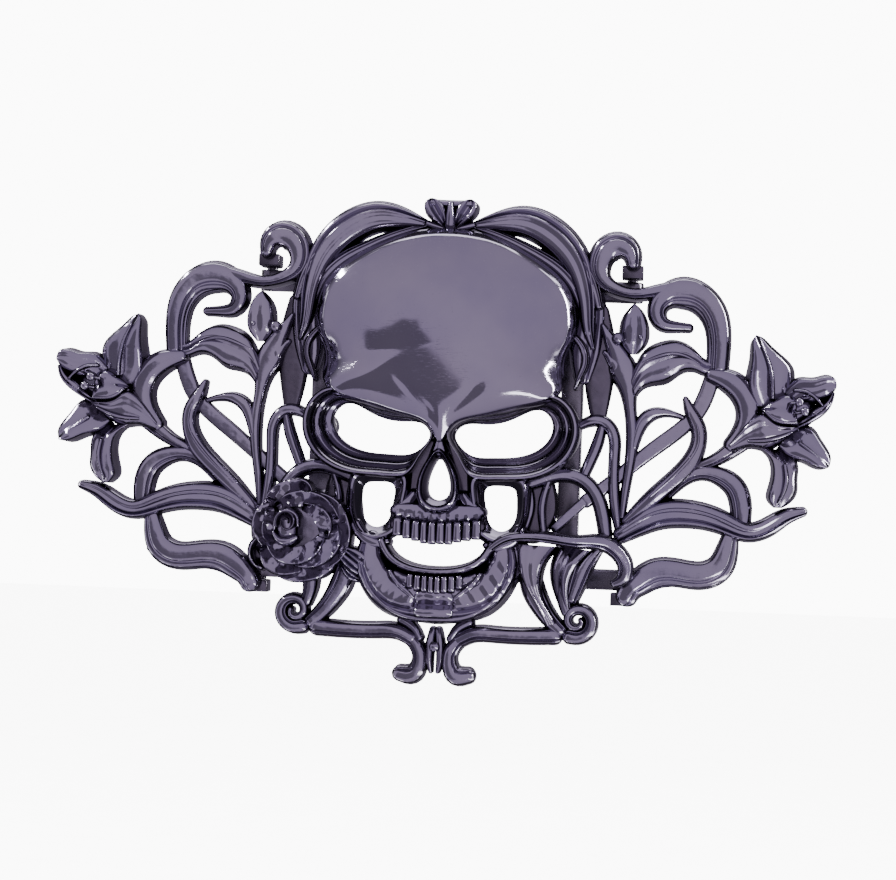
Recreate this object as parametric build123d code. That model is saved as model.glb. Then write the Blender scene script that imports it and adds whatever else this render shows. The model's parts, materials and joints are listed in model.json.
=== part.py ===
from build123d import *
import math
import os

# Openwork plate buckle with a skull, a rose and two lilies.
# Millimetres. +Z is up as worn, the front faces -Y, +X is to the right of a person who
# looks at the front. The origin is on the casting's back plane, at the belt's centre line.

# ---------------------------------------------------------------- overall sizes
buckle_width = 111.4  # from one lily's outer tip to the other's
buckle_height = 69.7  # from the crest to the feet of the bottom finial

# The ornament's outlines below are drawn at these sizes and follow the two sizes above.
drawn_width = 111.4
drawn_height = 69.7
across = buckle_width / drawn_width
upright = buckle_height / drawn_height

# ---------------------------------------------------------------- depths in front of the back plane
strip_depth = 1.6  # flat bracing strips behind the foliage
vine_depth = 3.2  # vines, loops and lower leaves
leaf_depth = 4.0  # upper leaves and buds
scroll_depth = 4.2  # scrolls, arches and finials
lily_depth = 5.6  # lily flowers
rose_depth = 9.0  # rose's outer petals
bud_depth = 10.4  # rose's bud
stem_depth = 9.2  # rose's stem, over the jaw
jaw_depth = 9.0  # both jaws
socket_depth = 9.6  # eye sockets' rims
nose_depth = 11.0  # nose ring
dome_depth = 13.0  # crown of the skull
tooth_stand = 0.9  # how far the teeth stand out from the jaws
shell_wall = 1.6  # wall of the hollow skull

# ---------------------------------------------------------------- skull
dome_radius = 18.5
dome_centre_z = 9.7
nose_hole_half_width = 1.6
upper_tooth_count = 10
upper_tooth_width = 1.1
upper_tooth_height = 2.9
lower_tooth_count = 8
lower_tooth_width = 0.9
lower_tooth_height = 1.6
tooth_gap = 0.2
stamen_radius = 0.7

# ---------------------------------------------------------------- rose
rose_x = -19.8
rose_z = -15.2
rose_radius = 6.6
rose_bud_radius = 2.5

# ---------------------------------------------------------------- belt fittings on the back
belt_opening = 38.4  # clear height for the strap between a frame's arms
bar_height = 3.0  # the frames' arms, along Z
bar_depth = 3.0  # the frames' bars, along Y
post_width = 3.2  # the frames' upright bars, along X
hinge_x = 26.1
hinge_y = 5.5
arm_reach = 9.7  # from the hinge axis to the far side of the upright bar
eye_radius = 1.6
pin_radius = 0.8
pin_running_gap = 0.05  # radial, between a pin and the frame's eye
lug_gap = 0.3  # between a frame's eye and the lug beside it
lug_height = 1.8  # along Z
lug_width = 3.0
stud_radius = 1.9
stud_reach = 6.0  # how far the stud stands out of the bar
stud_shank_radius = 1.1  # riveted end inside the bar


# ---------------------------------------------------------------- small helpers
def place(x, z):
    """A point of the ornament, at the buckle's own size."""
    return (x * across, z * upright)


def strand(*stations):
    """A flat band with round ends. A station is (x, z, half width) on its middle line."""
    middle = [Vector(*place(x, z)) for x, z, _ in stations]
    half = [station[2] for station in stations]
    left, right = [], []
    for i, point in enumerate(middle):
        before = middle[max(i - 1, 0)]
        after = middle[min(i + 1, len(middle) - 1)]
        along = (after - before).normalized()
        side = Vector(-along.Y, along.X)
        left.append(point + side * half[i])
        right.append(point - side * half[i])
    first = middle[0] - (middle[1] - middle[0]).normalized() * half[0]
    last = middle[-1] + (middle[-1] - middle[-2]).normalized() * half[-1]
    edges = [
        Spline(*left),
        ThreePointArc(left[-1], last, right[-1]),
        Spline(*right),
        ThreePointArc(left[0], first, right[0]),
    ]
    return make_face(edges)


def outline(*points):
    """A closed smooth outline through the points."""
    return make_face(Spline(*[place(x, z) for x, z in points], periodic=True))


def polygon(*points):
    """A closed outline with straight sides."""
    return make_face(Polyline(*[place(x, z) for x, z in points], close=True))


def slab(face, depth, back=0.0):
    """The face, thickened from `back` to `depth` in front of the back plane."""
    return extrude(Plane.XZ.offset(back) * face, depth - back, dir=(0, -1, 0))


def slabs(faces, depth, back=0.0):
    """Several faces thickened alike and joined into one piece."""
    whole = slab(faces[0], depth, back)
    for face in faces[1:]:
        whole = whole + slab(face, depth, back)
    return whole


def mirrored(piece):
    return mirror(piece, about=Plane.YZ)


def at(x, z, y=0.0):
    """A location on the ornament, y behind the back plane."""
    across_x, up_z = place(x, z)
    return Pos(across_x, y, up_z)


# ---------------------------------------------------------------- skull
def brow_region():
    """What is kept of the dome, seen from the front: all above the temples and the brow."""
    half = [(20.0, 30.0), (20.0, 13.5), (16.6, 9.8), (16.2, 7.0), (16.5, 4.9), (9.0, 2.7), (1.8, 0.8)]
    return polygon(*half, *[(-x, z) for x, z in reversed(half)])


def dome(radius, depth):
    """Half an egg that bulges towards the front, with a round base on the back plane."""
    angles = (0, 30, 60, 90)
    points = [(radius * math.sin(math.radians(a)), -depth * math.cos(math.radians(a))) for a in angles]
    quarter = Spline(*points, tangents=((1, 0), (0, 1)))
    profile = make_face([quarter, Line((radius, 0), (0, 0)), Line((0, 0), (0, -depth))])
    return Pos(0, 0, dome_centre_z * upright) * revolve(profile, Axis.Y)


def make_cranium():
    shell = dome(dome_radius, dome_depth) - dome(dome_radius - shell_wall, dome_depth - shell_wall)
    return shell & slab(brow_region(), dome_depth + 1, back=-1.0)


def eye_opening():
    """The right-hand eye's hole."""
    return outline(
        (1.8, -0.4), (5.8, 0.6), (10.4, 1.8), (14.4, 2.9), (15.3, 0.4), (12.8, -2.8), (8.6, -3.8), (3.6, -3.5)
    )


def make_eye_rim():
    """The raised rim and socket wall round the right-hand eye's hole."""
    rim = outline(
        (0.9, -0.9), (2.6, 1.5), (9.0, 3.3), (15.6, 5.2), (18.6, 2.2), (18.4, -2.4), (15.6, -5.9), (9.6, -7.1),
        (4.6, -6.6), (2.6, -3.8),
    )
    return slab(rim - eye_opening(), socket_depth, back=1.0)


def nose_outline(half_width, top, bottom):
    widest = bottom + 0.36 * (top - bottom)
    return outline((0, top), (half_width, widest), (0, bottom), (-half_width, widest))


def nose_opening():
    return nose_outline(nose_hole_half_width, -4.3, -10.1)


def make_nose_ring():
    return slab(nose_outline(3.05, -2.8, -12.1) - nose_opening(), nose_depth, back=3.0)


def cheek_opening():
    """The right-hand window between the cheekbone and the upper jaw."""
    corner = 1.6
    width, height = 4.3 * across, 6.2 * upright
    return Pos(*place(8.8, -11.3)) * RectangleRounded(width, height, corner)


def make_upper_jaw():
    """The plate below the eyes, with a window each side."""
    half = [(12.6, -6.0), (12.6, -12.0), (11.6, -15.2), (7.6, -16.0), (6.6, -14.0)]
    plate = polygon((0, -6.0), *half, (0, -14.4), *[(-x, z) for x, z in reversed(half)])
    holes = cheek_opening() + mirror(cheek_opening(), about=Plane.YZ)
    return slab(plate - holes - nose_opening(), jaw_depth, back=3.0)


def tooth_row(count, width, height, gum_z, bow, depth, back):
    """A row of round-cornered teeth whose line dips by `bow` in the middle."""
    pitch = width + tooth_gap
    teeth = []
    for i in range(count):
        x = (i - (count - 1) / 2) * pitch
        dip = bow * (1 - (2 * x / (count * pitch)) ** 2)
        tooth = RectangleRounded(width, height, 0.35)
        _, z = place(0, gum_z - dip)
        teeth.append(slab(Pos(x, z - height / 2) * tooth, depth, back))
    return Compound(children=teeth)


def make_upper_teeth():
    depth = jaw_depth + tooth_stand
    return tooth_row(
        upper_tooth_count, upper_tooth_width, upper_tooth_height, -12.7, 0.6, depth, jaw_depth - 3.5
    )


def make_lower_jaw():
    half = [(7.4, -16.0), (6.3, -18.2), (3.6, -19.7)]
    outer = [(10.0, -15.4), (11.4, -19.2), (10.8, -22.4), (8.2, -25.4), (4.2, -27.2)]
    points = [(0, -20.0), *reversed(half), *outer, (0, -27.5)]
    points += [(-x, z) for x, z in reversed(outer)] + [(-x, z) for x, z in half]
    return slab(polygon(*points), jaw_depth, back=2.0)


def make_lower_teeth():
    depth = jaw_depth + tooth_stand
    return tooth_row(lower_tooth_count, lower_tooth_width, lower_tooth_height, -20.6, 0.3, depth, jaw_depth)


# ---------------------------------------------------------------- rose
def make_rose_petals():
    """The open cup of outer petals, with a lobe at its lower left."""
    x, z = place(rose_x, rose_z)
    cup = Pos(x, z) * Circle(rose_radius)
    lobe = strand((rose_x - 3.0, rose_z - 1.5, 2.4), (rose_x - 4.7, rose_z - 3.3, 1.9))
    hollow = Pos(x, z) * Circle(rose_radius - 2.2)
    floor = slab(cup + lobe, rose_depth - 4.0)
    return floor + slab((cup + lobe) - hollow, rose_depth, rose_depth - 4.0)


def make_rose_bud():
    cone = Cone(rose_bud_radius + 0.5, rose_bud_radius - 0.7, bud_depth - rose_depth + 4.0)
    middle = (bud_depth + rose_depth - 4.0) / 2
    return at(rose_x, rose_z, -middle) * Rot(90, 0, 0) * cone


def make_rose_stem():
    """The stem that comes out of the mouth's corner and curls back like a hook."""
    return slab(
        strand(
            (7.6, -16.6, 0.5), (9.6, -15.3, 0.6), (12.4, -14.8, 0.6), (16.4, -15.0, 0.6), (20.4, -15.3, 0.7),
            (23.4, -15.2, 0.8), (25.8, -16.6, 0.8), (26.9, -18.8, 0.8), (25.6, -21.0, 0.7),
        ),
        stem_depth,
        back=stem_depth - 6.0,
    )


def make_stem_leaf():
    """The leaf that hangs from the stem beside the jaw."""
    return slab(
        strand((13.6, -15.8, 2.3), (13.4, -18.6, 1.9), (13.8, -21.2, 1.4), (15.0, -23.8, 1.2), (16.4, -26.4, 1.0)),
        jaw_depth - 2.0,
    )


# ---------------------------------------------------------------- foliage, drawn for the left side
def make_lily():
    petals = [
        strand((-46.8, 6.0, 1.4), (-46.6, 9.0, 2.2), (-45.6, 11.6, 1.6), (-44.4, 14.0, 0.8)),
        strand((-49.5, 6.4, 1.5), (-51.8, 7.3, 1.6), (-54.0, 8.0, 1.4), (-54.8, 8.4, 0.9)),
        strand((-49.2, 0.8, 1.7), (-51.2, -0.5, 1.9), (-53.0, -1.9, 1.4), (-54.3, -2.9, 0.7)),
        strand((-47.5, -1.6, 1.5), (-48.6, -4.5, 1.7), (-48.1, -7.0, 1.8), (-47.5, -8.7, 1.0)),
        strand((-47.5, 2.6, 2.4), (-44.6, 1.2, 1.8), (-42.4, -0.4, 1.2)),
        strand((-45.4, 4.0, 1.4), (-42.8, 6.8, 1.7), (-40.8, 8.2, 1.4), (-38.9, 9.6, 0.9)),
    ]
    cup = Pos(*place(-48.6, 3.8)) * Ellipse(4.2 * across, 3.4 * upright)
    return slabs([cup, *petals], lily_depth)


def make_stamens():
    """Two round stamen heads in each lily."""
    balls = []
    for side in (-1, 1):
        for x, z in ((-50.3, 5.5), (-51.1, 4.2)):
            balls.append(at(side * x, z, -(lily_depth + 0.8 * stamen_radius)) * Sphere(stamen_radius))
    return Compound(children=balls)


def make_scroll():
    """The big C scroll with its inner curl, and the link to the small curl at the top."""
    return slabs(
        [
            strand(
                (-38.7, 10.2, 1.3), (-38.8, 14.4, 1.4), (-38.0, 17.6, 1.6), (-36.0, 19.9, 1.8), (-33.2, 20.7, 1.9),
                (-30.9, 19.8, 1.5), (-29.9, 17.8, 1.2), (-30.6, 16.0, 1.0), (-32.4, 15.6, 0.8), (-34.6, 15.6, 0.6),
            ),
            strand((-32.2, 21.0, 1.3), (-29.4, 20.3, 0.9), (-26.4, 19.9, 0.8), (-23.6, 20.6, 0.9), (-21.4, 21.8, 1.1)),
            strand(
                (-21.3, 21.4, 1.3), (-21.3, 24.2, 1.5), (-22.4, 26.3, 1.7), (-24.3, 26.9, 1.8), (-25.9, 25.9, 1.3),
                (-26.2, 24.3, 0.9),
            ),
        ],
        scroll_depth,
    )


def make_arch():
    """The arch over the skull, which runs down outside it."""
    return slab(
        strand(
            (-3.6, 29.2, 0.7), (-7.4, 29.9, 1.5), (-10.6, 30.0, 2.0), (-13.6, 28.9, 2.1), (-16.2, 26.9, 2.1),
            (-18.2, 24.2, 1.9), (-19.3, 21.2, 1.5), (-19.9, 17.8, 1.2), (-20.2, 14.8, 0.9), (-20.9, 12.3, 0.5),
        ),
        scroll_depth,
    )


def make_leaf():
    """The broad upper leaf between the vine and the scroll."""
    return slab(
        strand(
            (-26.6, 7.6, 1.0), (-28.6, 9.6, 2.3), (-30.8, 10.5, 2.6), (-33.2, 11.2, 2.1), (-35.5, 10.9, 1.3),
            (-37.6, 10.2, 0.8),
        ),
        leaf_depth,
    )


def make_bud():
    """A small petal with a berry beside the temple."""
    petal = slab(strand((-26.4, 12.2, 1.2), (-26.3, 14.4, 1.7), (-26.0, 16.6, 1.0), (-26.4, 18.4, 0.4)), leaf_depth)
    berry = at(-24.4, 13.7, -leaf_depth + 0.4) * Sphere(0.9)
    return petal + berry


def make_vine():
    """The upright vine with its side leaf, loop and the arch that reaches the skull."""
    return slabs(
        [
            strand(
                (-25.9, -11.6, 0.5), (-26.2, -8.0, 0.6), (-26.6, -4.0, 0.7), (-26.8, 0.0, 0.8), (-26.4, 4.5, 0.9),
                (-25.9, 7.6, 1.5), (-25.0, 9.8, 1.9), (-24.2, 11.7, 1.3), (-23.2, 13.7, 0.9), (-22.1, 15.6, 0.4),
            ),
            strand((-33.6, 2.9, 0.5), (-32.0, 3.3, 0.5), (-30.3, 3.4, 0.7), (-28.7, 2.6, 0.8), (-27.4, 0.6, 0.8)),
            strand((-26.6, -0.8, 0.5), (-25.3, 0.7, 0.6), (-23.5, 1.6, 0.7), (-21.6, 1.6, 0.7), (-18.4, 0.7, 0.5)),
        ],
        vine_depth,
    )


def make_spike():
    """The pointed leaf whose stalk runs down to the rose."""
    return slab(
        strand(
            (-34.2, 5.4, 0.5), (-35.2, 3.4, 0.9), (-36.2, 1.2, 1.0), (-36.2, -1.0, 1.0), (-35.3, -3.4, 1.2),
            (-33.0, -6.0, 1.2), (-30.5, -8.4, 1.2), (-28.2, -10.6, 1.0), (-26.2, -12.4, 0.6),
        ),
        leaf_depth,
    )


def make_lily_stem():
    """The lily's stalk and the arch below it."""
    return slabs(
        [
            strand((-43.4, 0.4, 1.3), (-41.0, -1.5, 1.1), (-39.0, -2.9, 0.9), (-36.4, -4.0, 0.8)),
            strand(
                (-42.8, -11.8, 1.3), (-42.6, -9.0, 1.4), (-41.8, -6.9, 1.4), (-40.0, -5.5, 1.2), (-38.0, -4.9, 1.0),
                (-36.0, -5.0, 1.0), (-34.0, -6.2, 0.9), (-32.3, -8.0, 0.7),
            ),
        ],
        vine_depth,
    )


def make_lower_leaf():
    """The long leaf below, from its free tip to the rose."""
    return slab(
        strand(
            (-51.4, -9.9, 0.7), (-49.0, -10.6, 1.0), (-46.5, -12.3, 1.2), (-44.0, -13.1, 1.2), (-41.0, -12.3, 1.4),
            (-38.0, -11.2, 1.6), (-34.5, -10.8, 1.8), (-31.5, -11.0, 1.8), (-28.5, -12.5, 1.5), (-25.6, -14.2, 1.2),
        ),
        leaf_depth,
    )


def make_lower_loop():
    return slab(
        strand(
            (-41.0, -13.4, 1.0), (-40.8, -16.0, 1.5), (-40.0, -18.2, 1.7), (-38.0, -19.4, 1.7), (-34.5, -19.2, 1.7),
            (-31.0, -19.3, 1.8), (-28.7, -20.6, 1.8), (-27.3, -22.2, 1.5), (-26.9, -23.1, 1.2),
        ),
        vine_depth,
    )


def make_brace():
    """Flat strips behind the foliage: a long one to the cheek and a short one beside the eye."""
    return slabs(
        [
            strand(
                (-38.3, 10.0, 0.9), (-37.4, 6.8, 1.0), (-36.2, 4.0, 1.0), (-34.6, 2.0, 0.95), (-31.5, -0.6, 0.95),
                (-28.0, -3.4, 0.9), (-24.5, -6.4, 0.9), (-20.6, -9.6, 0.9),
            ),
            strand((-22.9, 1.6, 0.6), (-22.3, -1.0, 0.6), (-21.4, -3.5, 0.6), (-20.2, -6.0, 0.7), (-19.4, -9.2, 0.8)),
            strand((-20.9, -8.4, 0.7), (-19.0, -6.4, 0.8), (-16.6, -5.0, 0.8), (-11.8, -8.0, 0.8)),
        ],
        strip_depth,
    )


def make_lower_bar():
    """The rail under the jaw with its spiral end, and the stalks that come down to the spiral."""
    spiral = Pos(*place(-19.9, -26.7)) * Circle(3.3)
    rail = strand((-19.0, -28.9, 1.1), (-14.0, -29.1, 1.1), (-10.0, -29.1, 1.1), (-5.6, -29.1, 1.1), (-3.4, -29.9, 1.1))
    stalks = [
        strand((-12.2, -20.8, 1.0), (-13.6, -23.6, 1.0), (-15.2, -26.2, 1.0), (-16.8, -28.4, 0.9)),
        strand((-19.6, -19.0, 1.1), (-18.4, -21.2, 0.9), (-18.0, -23.6, 0.8), (-18.6, -26.0, 0.8)),
    ]
    return slabs([spiral, rail, *stalks], scroll_depth)


# ---------------------------------------------------------------- finials
def make_top_finial():
    bow = polygon((-3.9, 32.0), (-3.0, 33.0), (3.0, 33.0), (3.9, 32.0), (3.6, 30.4), (2.0, 29.0), (1.4, 27.6))
    bow = bow + polygon((1.4, 27.6), (-1.4, 27.6), (-2.0, 29.0), (-3.6, 30.4), (-3.9, 32.0))
    return slab(bow, scroll_depth + 0.6)


def make_bottom_finial():
    """Two legs that curl outwards, with a drop between them."""
    leg = strand((-3.4, -29.9, 1.2), (-2.3, -31.6, 1.1), (-2.2, -33.4, 1.1), (-2.9, -35.1, 1.35), (-4.8, -35.1, 1.2))
    drop = strand((0, -28.6, 1.4), (0, -31.6, 1.2), (0, -34.0, 0.9))
    chin_link = strand((-2.6, -29.6, 0.7), (-3.2, -28.4, 0.8), (-4.6, -27.2, 0.8))
    other_leg = mirror(leg, about=Plane.YZ)
    other_link = mirror(chin_link, about=Plane.YZ)
    return slabs([drop, leg, other_leg, chin_link, other_link], scroll_depth)


# ---------------------------------------------------------------- belt fittings, drawn for the right side
arm_z = belt_opening / 2 + bar_height / 2
eye_outer_z = belt_opening / 2 + bar_height
lug_z = eye_outer_z + lug_gap + lug_height / 2
pin_length = bar_height + lug_gap + lug_height


def make_lugs():
    """Cast lugs that hold the hinge pins, one above and one below the frame's eyes."""
    lugs = []
    for side in (1, -1):
        block = Pos(hinge_x, hinge_y / 2, side * lug_z) * Box(lug_width, hinge_y, lug_height)
        round_end = Pos(hinge_x, hinge_y, side * lug_z) * Cylinder(lug_width / 2, lug_height)
        bore = Pos(hinge_x, hinge_y, side * lug_z) * Cylinder(pin_radius, lug_height + 1)
        lugs.append((block + round_end) - bore)
    return Compound(children=lugs)


def make_pins():
    pins = []
    for side in (1, -1):
        middle = side * (belt_opening / 2 + pin_length / 2)
        pins.append(Pos(hinge_x, hinge_y, middle) * Cylinder(pin_radius, pin_length))
    return Compound(children=pins)


def make_frame():
    """A U shaped frame: two arms with eyes for the hinge pins, and an upright bar."""
    outer_height = 2 * eye_outer_z
    arms = Pos(hinge_x - arm_reach / 2, hinge_y, 0) * Box(arm_reach, bar_depth, outer_height)
    arms = fillet(arms.edges().filter_by(Axis.Y).group_by(Axis.X)[0], bar_height / 2)
    gap = Pos(hinge_x - arm_reach / 2 + post_width, hinge_y, 0) * Box(arm_reach + 0.01, bar_depth + 1, belt_opening)
    frame = arms - gap
    for side in (1, -1):
        eye = Pos(hinge_x, hinge_y, side * arm_z)
        frame = frame + eye * Cylinder(eye_radius, bar_height)
    for side in (1, -1):
        bore = Cylinder(pin_radius + pin_running_gap, bar_height + 1)
        frame = frame - Pos(hinge_x, hinge_y, side * arm_z) * bore
    return frame


post_x = hinge_x - arm_reach + post_width / 2
bar_back = hinge_y + bar_depth / 2


def make_hook_frame():
    """The other side's frame, bored through its upright bar for the stud's shank."""
    bore = Pos(-post_x, hinge_y, 0) * Rot(90, 0, 0) * Cylinder(stud_shank_radius, bar_depth + 1)
    return mirrored(make_frame()) - bore


def make_stud():
    """The round peg that a belt hole drops over, with its shank through the bar."""
    peg = Pos(-post_x, bar_back + stud_reach / 2, 0) * Rot(90, 0, 0) * Cylinder(stud_radius, stud_reach)
    peg = fillet(peg.edges().sort_by(Axis.Y)[-1], stud_radius / 2)
    shank = Pos(-post_x, hinge_y, 0) * Rot(90, 0, 0) * Cylinder(stud_shank_radius, bar_depth)
    return peg + shank


# ---------------------------------------------------------------- the assembly
# Where two pieces of the casting meet, the later one in this list is cut to fit the earlier.
casting = {
    "nose_ring": make_nose_ring(),
    "eye_rim_right": make_eye_rim(),
    "eye_rim_left": mirrored(make_eye_rim()),
    "upper_teeth": make_upper_teeth(),
    "lower_teeth": make_lower_teeth(),
    "cranium": make_cranium(),
    "rose_bud": make_rose_bud(),
    "rose_petals": make_rose_petals(),
    "rose_stem": make_rose_stem(),
    "upper_jaw": make_upper_jaw(),
    "lower_jaw": make_lower_jaw(),
    "stem_leaf": make_stem_leaf(),
    "lily_stamens": make_stamens(),
    "crest_finial": make_top_finial(),
}
for name, make in (
    ("lug_pair", make_lugs),
    ("brace", make_brace),
    ("scroll", make_scroll),
    ("arch", make_arch),
    ("lily", make_lily),
    ("leaf", make_leaf),
    ("temple_bud", make_bud),
    ("spike_leaf", make_spike),
    ("lower_leaf", make_lower_leaf),
    ("vine", make_vine),
    ("lily_stem", make_lily_stem),
    ("lower_loop", make_lower_loop),
    ("lower_bar", make_lower_bar),
):
    piece = make()
    drawn_side = "right" if name == "lug_pair" else "left"
    other_side = "left" if drawn_side == "right" else "right"
    casting[f"{name}_{drawn_side}"] = piece
    casting[f"{name}_{other_side}"] = mirrored(piece)
casting["bottom_finial"] = make_bottom_finial()


def boxes_meet(one, other):
    a, b = one.bounding_box(), other.bounding_box()
    return (
        a.min.X < b.max.X and b.min.X < a.max.X
        and a.min.Y < b.max.Y and b.min.Y < a.max.Y
        and a.min.Z < b.max.Z and b.min.Z < a.max.Z
    )


def cut_to_fit(pieces):
    fitted = {}
    for name, piece in pieces.items():
        for earlier in fitted.values():
            if boxes_meet(piece, earlier):
                piece = piece - earlier
        fitted[name] = piece
    return fitted


nodes = cut_to_fit(casting)
nodes["belt_loop"] = make_frame()
nodes["belt_loop_pins"] = make_pins()
nodes["hook_frame"] = make_hook_frame()
nodes["hook_frame_pins"] = mirrored(make_pins())
nodes["hook_stud"] = make_stud()

os.makedirs("parts", exist_ok=True)
for name, piece in nodes.items():
    export_step(piece, f"parts/{name}.step")
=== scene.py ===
import itertools
import json
import math
import random

import bpy
import numpy as np
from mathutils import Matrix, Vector

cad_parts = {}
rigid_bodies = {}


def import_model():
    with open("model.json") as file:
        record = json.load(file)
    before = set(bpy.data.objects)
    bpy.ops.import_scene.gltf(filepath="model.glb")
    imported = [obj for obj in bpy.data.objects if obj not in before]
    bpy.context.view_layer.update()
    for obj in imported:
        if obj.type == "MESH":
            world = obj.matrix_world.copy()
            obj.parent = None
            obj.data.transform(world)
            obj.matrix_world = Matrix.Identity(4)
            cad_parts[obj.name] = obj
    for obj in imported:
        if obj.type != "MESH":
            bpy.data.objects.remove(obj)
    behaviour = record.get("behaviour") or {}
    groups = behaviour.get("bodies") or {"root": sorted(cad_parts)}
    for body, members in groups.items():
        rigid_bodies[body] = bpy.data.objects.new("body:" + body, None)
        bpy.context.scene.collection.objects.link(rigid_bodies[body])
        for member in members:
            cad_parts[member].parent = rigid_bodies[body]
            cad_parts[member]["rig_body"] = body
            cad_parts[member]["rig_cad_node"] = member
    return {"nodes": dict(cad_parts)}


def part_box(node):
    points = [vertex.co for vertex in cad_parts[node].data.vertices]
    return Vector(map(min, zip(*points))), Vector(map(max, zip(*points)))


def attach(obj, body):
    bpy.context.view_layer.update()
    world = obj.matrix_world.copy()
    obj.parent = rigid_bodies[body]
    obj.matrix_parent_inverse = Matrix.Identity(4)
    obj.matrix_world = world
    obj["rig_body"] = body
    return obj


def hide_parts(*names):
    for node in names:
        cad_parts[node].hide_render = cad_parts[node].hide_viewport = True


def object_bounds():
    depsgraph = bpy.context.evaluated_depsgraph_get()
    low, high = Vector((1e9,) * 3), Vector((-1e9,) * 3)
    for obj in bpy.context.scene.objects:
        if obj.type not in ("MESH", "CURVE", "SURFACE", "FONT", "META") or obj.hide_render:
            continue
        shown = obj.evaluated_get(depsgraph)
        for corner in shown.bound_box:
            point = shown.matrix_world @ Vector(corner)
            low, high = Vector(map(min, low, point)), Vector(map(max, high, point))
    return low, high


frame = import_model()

bl_info = {
    "name": "Openwork Buckle",
    "version": (1, 0, 0),
    "blender": (4, 5, 0),
    "location": "View3D > Sidebar > Buckle",
    "description": "Makes the cast front, hinged fittings and studio stage of an openwork belt buckle",
    "category": "Object",
}

MM = 0.001
cad_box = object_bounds()

# The ornament is drawn in millimetres at these overall sizes and follows the frame's own.
DRAWN_WIDTH = 111.4
DRAWN_HEIGHT = 69.7
ACROSS = (cad_box[1][0] - cad_box[0][0]) / (DRAWN_WIDTH * MM)
UPRIGHT = (cad_box[1][2] - cad_box[0][2]) / (DRAWN_HEIGHT * MM)
BOTH_SIDES = (1, -1)
# The foliage is drawn for the left side, where x is negative, and turned over for the right.
SIDES = {"left": 1, "right": -1}


def front_of(node):
    """How far a CAD node stands in front of the back plane, in millimetres."""
    return -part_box(node)[0].y / MM


# ---------------------------------------------------------------- settings
class BuckleFinishSettings(bpy.types.PropertyGroup):
    plate_colour: bpy.props.FloatVectorProperty(
        name="Plate colour",
        description="Black chrome plate on the faces that catch the light",
        subtype="COLOR",
        size=3,
        min=0.0,
        max=1.0,
        default=(0.37, 0.34, 0.445),
    )
    # Painted shade: this colour darkens the side walls that turn away from the front and the parts that lie
    # deep in hollows.
    painted_shade_colour: bpy.props.FloatVectorProperty(
        name="Recess colour",
        description="Plate in the grooves and on the side walls, where polish leaves it dark",
        subtype="COLOR",
        size=3,
        min=0.0,
        max=1.0,
        default=(0.18, 0.16, 0.20),
    )
    fitting_colour: bpy.props.FloatVectorProperty(
        name="Fitting colour",
        description="Tumbled plate on the hinged frames",
        subtype="COLOR",
        size=3,
        min=0.0,
        max=1.0,
        default=(0.20, 0.185, 0.225),
    )
    pin_colour: bpy.props.FloatVectorProperty(
        name="Pin colour",
        description="Plated steel of the pins and the stud",
        subtype="COLOR",
        size=3,
        min=0.0,
        max=1.0,
        default=(0.34, 0.33, 0.36),
    )
    polish: bpy.props.FloatProperty(
        name="Polish",
        description="Roughness of the polished faces",
        min=0.0,
        max=1.0,
        default=0.10,
    )


class BuckleShapeSettings(bpy.types.PropertyGroup):
    shell_wall: bpy.props.FloatProperty(
        name="Shell wall",
        description="Wall of the hollow skull",
        subtype="DISTANCE",
        unit="LENGTH",
        min=0.0005,
        max=0.003,
        default=0.0016,
    )
    edge_round: bpy.props.FloatProperty(
        name="Edge rounding",
        description="Width of the rounded edges on the hinged fittings",
        subtype="DISTANCE",
        unit="LENGTH",
        min=0.00005,
        max=0.001,
        default=0.00035,
    )


class BuckleStageSettings(bpy.types.PropertyGroup):
    floor_drop: bpy.props.FloatProperty(
        name="Floor drop",
        description="How far the floor lies below the buckle",
        subtype="DISTANCE",
        unit="LENGTH",
        default=0.06,
    )
    camera_distance: bpy.props.FloatProperty(
        name="Camera distance",
        description="From the camera to the middle of the front",
        subtype="DISTANCE",
        unit="LENGTH",
        default=0.55,
    )
    camera_azimuth: bpy.props.FloatProperty(
        name="Camera azimuth",
        description="How far the camera stands to the right of straight ahead",
        subtype="ANGLE",
        unit="ROTATION",
        default=math.radians(3.6),
    )
    camera_elevation: bpy.props.FloatProperty(
        name="Camera elevation",
        description="How far the camera stands above the middle of the front",
        subtype="ANGLE",
        unit="ROTATION",
        default=math.radians(-1.0),
    )
    camera_roll: bpy.props.FloatProperty(
        name="Camera roll",
        description="Lean of the picture",
        subtype="ANGLE",
        unit="ROTATION",
        default=math.radians(-2.18),
    )


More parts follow.
